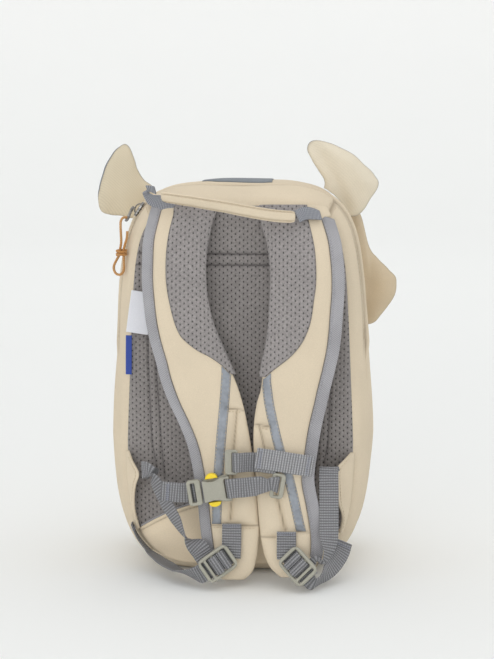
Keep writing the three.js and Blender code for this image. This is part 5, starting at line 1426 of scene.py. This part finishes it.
pull = moulding("zipper_pull_bar", [pull_loop, rounded(reach - 4.2, reach - 1.2, -1.6, 1.6, 0.7, 0.1), rounded(-reach + 1.2, -reach + 2.8, -1.0, 1.0, 0.5, 0.1)], -0.8, 0.8, pull_frame, METAL, 0.35)
piece(pull, "metal", "zipper_pull")

# ---- ears and lobe -------------------------------------------------------------------------
EAR_OUTLINE = {
    "left": [[-46, 30], [-10, 27], [15, 18], [50, 18], [70, 25], [86, 34], [98, 31], [116, 24.3], [149, 18.6], [186, 19.4], [209, 24.2], [229, 28.4], [245, 26.8], [265, 25.2], [284, 28]],
    "right": [[4, 25], [34, 19.3], [65, 20], [95, 24], [114, 31], [132, 39.8], [144, 38], [150, 31.8], [164, 22.6], [184, 17], [206, 18.5], [222, 27], [245, 32], [266, 31], [289, 33], [320, 27.8], [351, 28.6]],
}
LOBE_OUTLINE = [[12, 22.6], [32, 19.8], [60, 20], [76, 22.8], [88, 27.5], [94, 37], [97.4, 58], [101, 63], [108, 58], [122, 40], [180, 26], [240, 34], [262, 36], [277, 34.4], [288.5, 29.8], [300, 26.8], [313.5, 24.8], [339, 23.7], [356, 22.9]]
EAR_CENTRE, LOBE_CENTRE = {"left": (-100, 12, 305), "right": (82, 12, 312)}, (104, 45, 222)


def reach_at(rows, deg):
    """Smooth closed outline through rows of direction and reach."""
    rows = sorted(([d % 360, r] for d, r in rows))
    turns = np.array([[d + 360 * k, r] for k in (-1, 0, 1) for d, r in rows])
    return Table("deg reach", turns).get("reach", np.asarray(deg, float) % 360)


def bag_block():
    rings = [ring(y, 0.6) for y in (-57, -50, -42, -34, -26, -18, -10, 0, 10, 20, 30, 40, 48, 54, 57)]
    rings += [dome_ring(s) + np.array([0, 0.6, 0]) for s in (0.96, 0.9, 0.8, 0.6, 0.35)]
    v, f = loft(np.stack(rings)[:, ::4])
    return build("bag_block", v, f)


def swelled(o, pressure, cap, hold):
    """Puff a closed cloth form with the cloth solver, holding the points that are sewn down."""
    me = o.data
    count = len(me.vertices)
    before = np.empty(count * 3)
    me.vertices.foreach_get("co", before)
    before = before.reshape(-1, 3)
    group = o.vertex_groups.new(name="hold")
    for i in np.nonzero(hold)[0]:
        group.add([int(i)], 1.0, "REPLACE")
    m = o.modifiers.new("puff", "CLOTH")
    s = m.settings
    s.quality, s.mass = 6, 0.25
    s.tension_stiffness = s.compression_stiffness = 12
    s.shear_stiffness, s.bending_stiffness = 6, 0.6
    s.use_pressure, s.uniform_pressure_force = True, pressure
    s.vertex_group_mass = "hold"
    s.effector_weights.gravity = 0
    m.collision_settings.use_collision = False
    m.point_cache.frame_start, m.point_cache.frame_end = 1, 20
    for k in range(1, 21):
        SCENE.frame_set(k)
    e = o.evaluated_get(bpy.context.evaluated_depsgraph_get())
    after = np.empty(count * 3)
    e.data.vertices.foreach_get("co", after)
    after = after.reshape(-1, 3)
    o.modifiers.remove(m)
    o.vertex_groups.remove(group)
    SCENE.frame_set(1)
    move = after - before
    far = np.linalg.norm(move, axis=1, keepdims=True)
    me.vertices.foreach_set("co", (before + move * np.minimum(1, cap * MM / np.maximum(far, 1e-9))).astype(np.float32).ravel())
    me.update()


def soft_leaf(name, rows, centre, cup, front, back, rim, materials, cells=44, pressure=4.0, cap=4.0, crease=(), lining=None):
    """A stuffed leaf of two layers sewn round their edge; front faces -Y."""
    g = np.linspace(-1, 1, cells)
    u, w = np.meshgrid(g, g)
    x, z = u * np.sqrt(1 - w * w / 2), w * np.sqrt(1 - u * u / 2)
    share, deg = np.minimum(np.hypot(x, z), 1), np.degrees(np.arctan2(z, x))
    r = reach_at(rows, deg) * share
    px, pz = r * np.cos(np.radians(deg)), r * np.sin(np.radians(deg))
    swell = lambda depth: depth * np.sqrt(np.maximum(1 - share**2.2, 0))
    dip = np.zeros(share.shape)
    for line, depth, wide in crease:
        dip += depth * np.exp(-((gap_to(line, px, pz) / wide) ** 2))
    mid = np.stack([centre[0] + px, centre[1] + cup(px, pz), centre[2] + pz], -1)
    a, b = mid.copy(), mid.copy()
    a[..., 1] -= rim * 0.5 + swell(front) * 0.86 - dip
    b[..., 1] += rim * 0.5 + swell(back) * 0.86 - dip * 0.5
    if lining:  # the lining rolls out past the back's edge here
        start, stop, more = lining
        out = more * smooth(start, start + 25, deg % 360) * smooth(stop, stop - 25, deg % 360) * smooth(0.5, 1, share)
        b[..., 0] += out * np.cos(np.radians(deg))
        b[..., 2] += out * np.sin(np.radians(deg))
    vv, ff = slab(a, b)
    slots = [np.full(len(ff[0]), 0), np.full(len(ff[1]), len(materials) - 1), np.full(len(ff[2]), len(materials) - 1)]
    edge = 0.3 * np.exp(-(((1 - share) / 0.03) ** 2))
    o = build(name, vv, ff, materials=materials, slots=slots, seam=np.concatenate([edge.ravel(), edge.ravel()]))
    inside = ((vv[:, 0] / 104) ** 4 + ((vv[:, 2] - 153) / 155) ** 4 < 0.93) | (np.concatenate([share.ravel(), share.ravel()]) > 0.985)
    swelled(o, pressure, cap, inside)
    smoother = o.modifiers.new("fine", "SUBSURF")
    smoother.levels = smoother.render_levels = 1
    cutter = bag_block()
    cut = o.modifiers.new("sewn", "BOOLEAN")
    cut.operation, cut.object, cut.solver = "DIFFERENCE", cutter, "EXACT"
    bpy.context.view_layer.update()
    me = bpy.data.meshes.new_from_object(o.evaluated_get(bpy.context.evaluated_depsgraph_get()))
    o.modifiers.clear()
    o.data = me
    me.name = name
    bpy.data.objects.remove(cutter)
    me.polygons.foreach_set("use_smooth", np.ones(len(me.polygons), bool))
    return o


ear_cup = lambda x, z: 0.0036 * (x * x + z * z)
for side, crease, lining in (("left", [([(-8, -22), (-2, 12), (0, 26)], 0.8, 6)], (85, 215, 1.6)), ("right", [([(2, -24), (-9, 2), (-24, 24)], 2.4, 5.5), ([(-14, 25), (6, 13), (17, -3)], -1.8, 6.5)], (120, 150, 1.4))):
    # the left ear's back is in the darker ribbed copy (painted shade), the right ear's in the lighter copy (painted
    # light)
    back_cloth = BEIGE_RIB_PAINTED_SHADE if side == "left" else BEIGE_EAR_PAINTED_LIGHT
    ear = soft_leaf(f"ear_{side}_cloth", EAR_OUTLINE[side], EAR_CENTRE[side], ear_cup, 5.5, 3.0, 1.6, [back_cloth, GREY], crease=crease, lining=lining)
    piece(ear, "beige", f"ear_{side}", f"ear_{side}_lining")
# the lobe is in the darker copy of the beige: painted shade
lobe = soft_leaf("side_lobe_cloth", LOBE_OUTLINE, LOBE_CENTRE, lambda x, z: 0 * x, 13, 13, 1.6, [BEIGE_PAINTED_SHADE], crease=[([(-2, 40), (-3, 18), (-1, -6), (-4, -24)], 3.2, 9)], cap=4.0)
piece(lobe, "beige", "side_lobe")

# ---- handle, tabs, wings and labels ------------------------------------------------------------
HANDLE = [
    [-60, -73.6, 302, 0, -0.55, 0.83], [-46, -78, 300, 0, -0.45, 0.89], [-29, -83.5, 297.8, 0, -0.36, 0.93], [-6, -88.5, 294.2, 0, -0.2, 0.98],
    [17, -90.5, 290, 0, 0, 1], [32, -88.5, 287.8, 0, 0.15, 0.98], [43.4, -85, 287, 0, 0.25, 0.96],
]
c, s, n, _ = band_course(HANDLE, 9.5, 150)
a = np.arange(34) / 34 * TAU
across, up = np.sign(np.cos(a)) * np.abs(np.cos(a)) ** 0.7, np.sign(np.sin(a)) * np.abs(np.sin(a)) ** 0.75
k = np.linspace(0, 1, len(c))
ends = mix(0.72, 1, np.minimum(np.minimum(k, 1 - k) / 0.05, 1) ** 0.5)
dent = 0.45 * np.exp(-(((np.abs(across) - 0.74) / 0.12) ** 2))
rings = c[:, None] + s[:, None] * (across[None] * 4.75 * ends[:, None])[..., None] + n[:, None] * ((up - np.sign(up) * dent)[None] * 2.3 * ends[:, None])[..., None]
rings += n[:, None] * (0.18 * waves(rings, 16, 31))[..., None]
v, f = loft(rings)
mark = np.broadcast_to((0.25 * np.exp(-(((np.abs(across) - 0.74) / 0.07) ** 2)))[None], rings.shape[:2]).ravel()
handle = build("handle_sleeve", v, f, materials=[BEIGE], seam=np.append(mark, [0, 0]))
piece(handle, "beige", "handle")
lines = []
for w in (-3.5, 3.5):
    for sign in (-1, 1):
        lines.append(((c + s * w + n * sign * 1.75)[4:-4], (n * sign)[4:-4]))
stitches("handle_stitches", lines, THREAD_BEIGE, "beige", 2.0, 0.9, 0.45, 0.4)
HANDLE_TABS = {
    "left": [[-50, -69.8, 295, 0.05, -0.1, 1], [-60, -69.6, 296.4, 0.1, -0.15, 0.98], [-68, -69.4, 299.4, 0.25, -0.3, 0.9], [-72, -70.6, 304, 0.5, -0.5, 0.6], [-70.4, -74.8, 307, 0.45, -0.6, 0.5], [-64.6, -76.4, 306, 0.2, -0.7, 0.5]],
    "right": [[45.2, -84.4, 287.2, 0.1, 0.3, 0.94], [51, -82, 289.6, 0.32, 0.4, 0.86], [57, -78.6, 289.2, 0.34, 0.66, 0.66], [63, -75.6, 287.6, 0.3, 0.86, 0.4]],
}
for side, width in (("left", 11), ("right", 10)):
    webbing_piece(f"handle_tab_{side}_web", HANDLE_TABS[side], f"handle_tab_{side}", width=width, material=TAB_CLOTH, rib=1.2, warp=1.5, slot="grey_cloth")

WING = {
    "left": Table("z inward forward", [[99, 1.2, 1.2], [92, 5, 8], [84, 10.5, 16], [74, 7, 13], [62, 4, 9], [50, 2.4, 6], [41, 2, 4], [36, 1.2, 1.2]]),
    "right": Table("z inward forward", [[99, 1.2, 1.2], [95, 7, 11], [90, 12.5, 17.5], [76, 12, 14], [60, 9, 10], [52, 5, 7], [46, 3, 4.5], [40, 2, 3], [34, 1.2, 1.2]]),
}
wing_lines = []
for side, sign in (("left", -1), ("right", 1)):
    table = WING[side]
    z = np.linspace(99, table.a[0, 0], 70)[:, None]
    u = np.linspace(0, 1, 20)[None]
    w = table.at(z)
    x = sign * (seam_half(z) - w[..., 1] * u)
    y = -65.4 - (2 + w[..., 2]) * u
    grid = np.stack([x, y, np.broadcast_to(z, x.shape)], -1)
    nn = normals_of(grid, np.array([0, -1.0, 0]))
    fat = 1.1 * np.sqrt(np.maximum(1 - (np.maximum(u - 0.9, 0) / 0.1) ** 2, 0.12))
    ripple = 0.35 * waves(grid, 20, 41) * np.sin(np.pi * u)
    v, f = slab(grid + nn * (fat + ripple)[..., None], grid - nn * (fat - ripple)[..., None])
    o = build(f"wing_{side}_cloth", v, f, materials=[BEIGE])
    piece(o, "beige", f"wing_{side}")
    for sg in (-1, 1):
        wing_lines.append(((grid + nn * sg * 1.1)[4:-4, 16], (nn * sg)[4:-4, 16]))
stitches("wing_stitches", wing_lines, THREAD_BEIGE, "beige", 2.0, 0.9)

LABELS = {
    "white": ([[-76.4, -67.4, 226.5, 0.97, -0.06, -0.22], [-78.8, -67.8, 210, 0.97, -0.06, -0.22], [-80.9, -68, 193.5, 0.97, -0.06, -0.22]], 17.5, 0.6, WHITE),
    "blue": ([[-87.6, -66, 191.6, 1, 0, 0], [-87.8, -66.2, 176, 1, 0, 0], [-88, -66, 160.4, 1, 0, 0]], 4.8, 0.8, BLUE),
}
for name, (rows, width, thick, material) in LABELS.items():
    o, _ = webbing_piece(f"label_{name}_tab", rows, f"label_{name}", material=material, slot=f"label_{name}", width=width, thick=thick, weave=0.02, step=0.7)

# ---- floor and light --------------------------------------------------------------------------
def pale(name, low, high):
    f = Finish(name, 0.9, specular=0.1)
    height = f.nodes.new("ShaderNodeSeparateXYZ")
    f.links.new(f.place(), height.inputs[0])
    # lighter with height from the floor up the backdrop: painted light, the backdrop brighter than the floor
    f.colour(f.blend(f.range(f.math("MULTIPLY_ADD", f.noise(3.0, 2), 0.2, height.outputs[2]), 0.0, 1.0), srgb(*low), srgb(*high)))
    f.bump(f.noise(60, 2), 0.02)
    return f.m


profile = [(0, 0)] + [(1.0 * k, 0) for k in (0.6, 1.4, 2.2, 3.0)] + [(3.0 + 1.4 * math.sin(a), 1.4 - 1.4 * math.cos(a)) for a in np.linspace(0.15, 1.45, 9)] + [(4.42, 2.6)]
rows = np.array(profile[1:])
a = np.arange(72) / 72 * TAU
grid = np.stack([rows[:, :1] * np.cos(a)[None], rows[:, :1] * np.sin(a)[None], np.broadcast_to(rows[:, 1:], (len(rows), 72))], -1) / MM
v = np.concatenate([grid.reshape(-1, 3), [[0, 0, 0]]])
f = [grid_faces(len(rows), 72, True), np.stack([np.arange(72), np.full(72, len(v) - 1), (np.arange(72) + 1) % 72], 1)]
floor = build("floor", v, f, materials=[pale("pale_floor_painted_light", (243, 244, 243), (250, 250, 249))])
floor.location.z = -0.0004
floor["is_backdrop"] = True

world = bpy.data.worlds.new("studio")
world.use_nodes = True
world.node_tree.nodes["Background"].inputs[0].default_value = (0.995, 1.0, 1.0, 1)
world.node_tree.nodes["Background"].inputs[1].default_value = 0.88
SCENE.world = world


def soft_light(name, at, size, power, aim=(0, -0.03, 0.15), colour=(1, 1, 1)):
    data = bpy.data.lights.new(name, "AREA")
    data.shape, data.size, data.size_y, data.energy, data.color = "RECTANGLE", size[0], size[1], power, colour
    o = bpy.data.objects.new(name, data)
    SCENE.collection.objects.link(o)
    o.location = at
    o.rotation_euler = (Vector(aim) - Vector(at)).to_track_quat("-Z", "Y").to_euler()


soft_light("key_light", (-0.4, -2.4, 1.0), (1.4, 1.4), 5.5, colour=(1, 0.995, 0.985))
soft_light("top_light", (0.3, -0.2, 2.3), (1.8, 1.8), 5)
soft_light("low_light", (-0.5, -2.0, 0.3), (1.2, 0.6), 4, aim=(0, -0.05, 0.08))
soft_light("wall_light", (0, 1.6, 2.4), (3.0, 0.8), 9, aim=(0, 4.2, 0.9))

low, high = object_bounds()
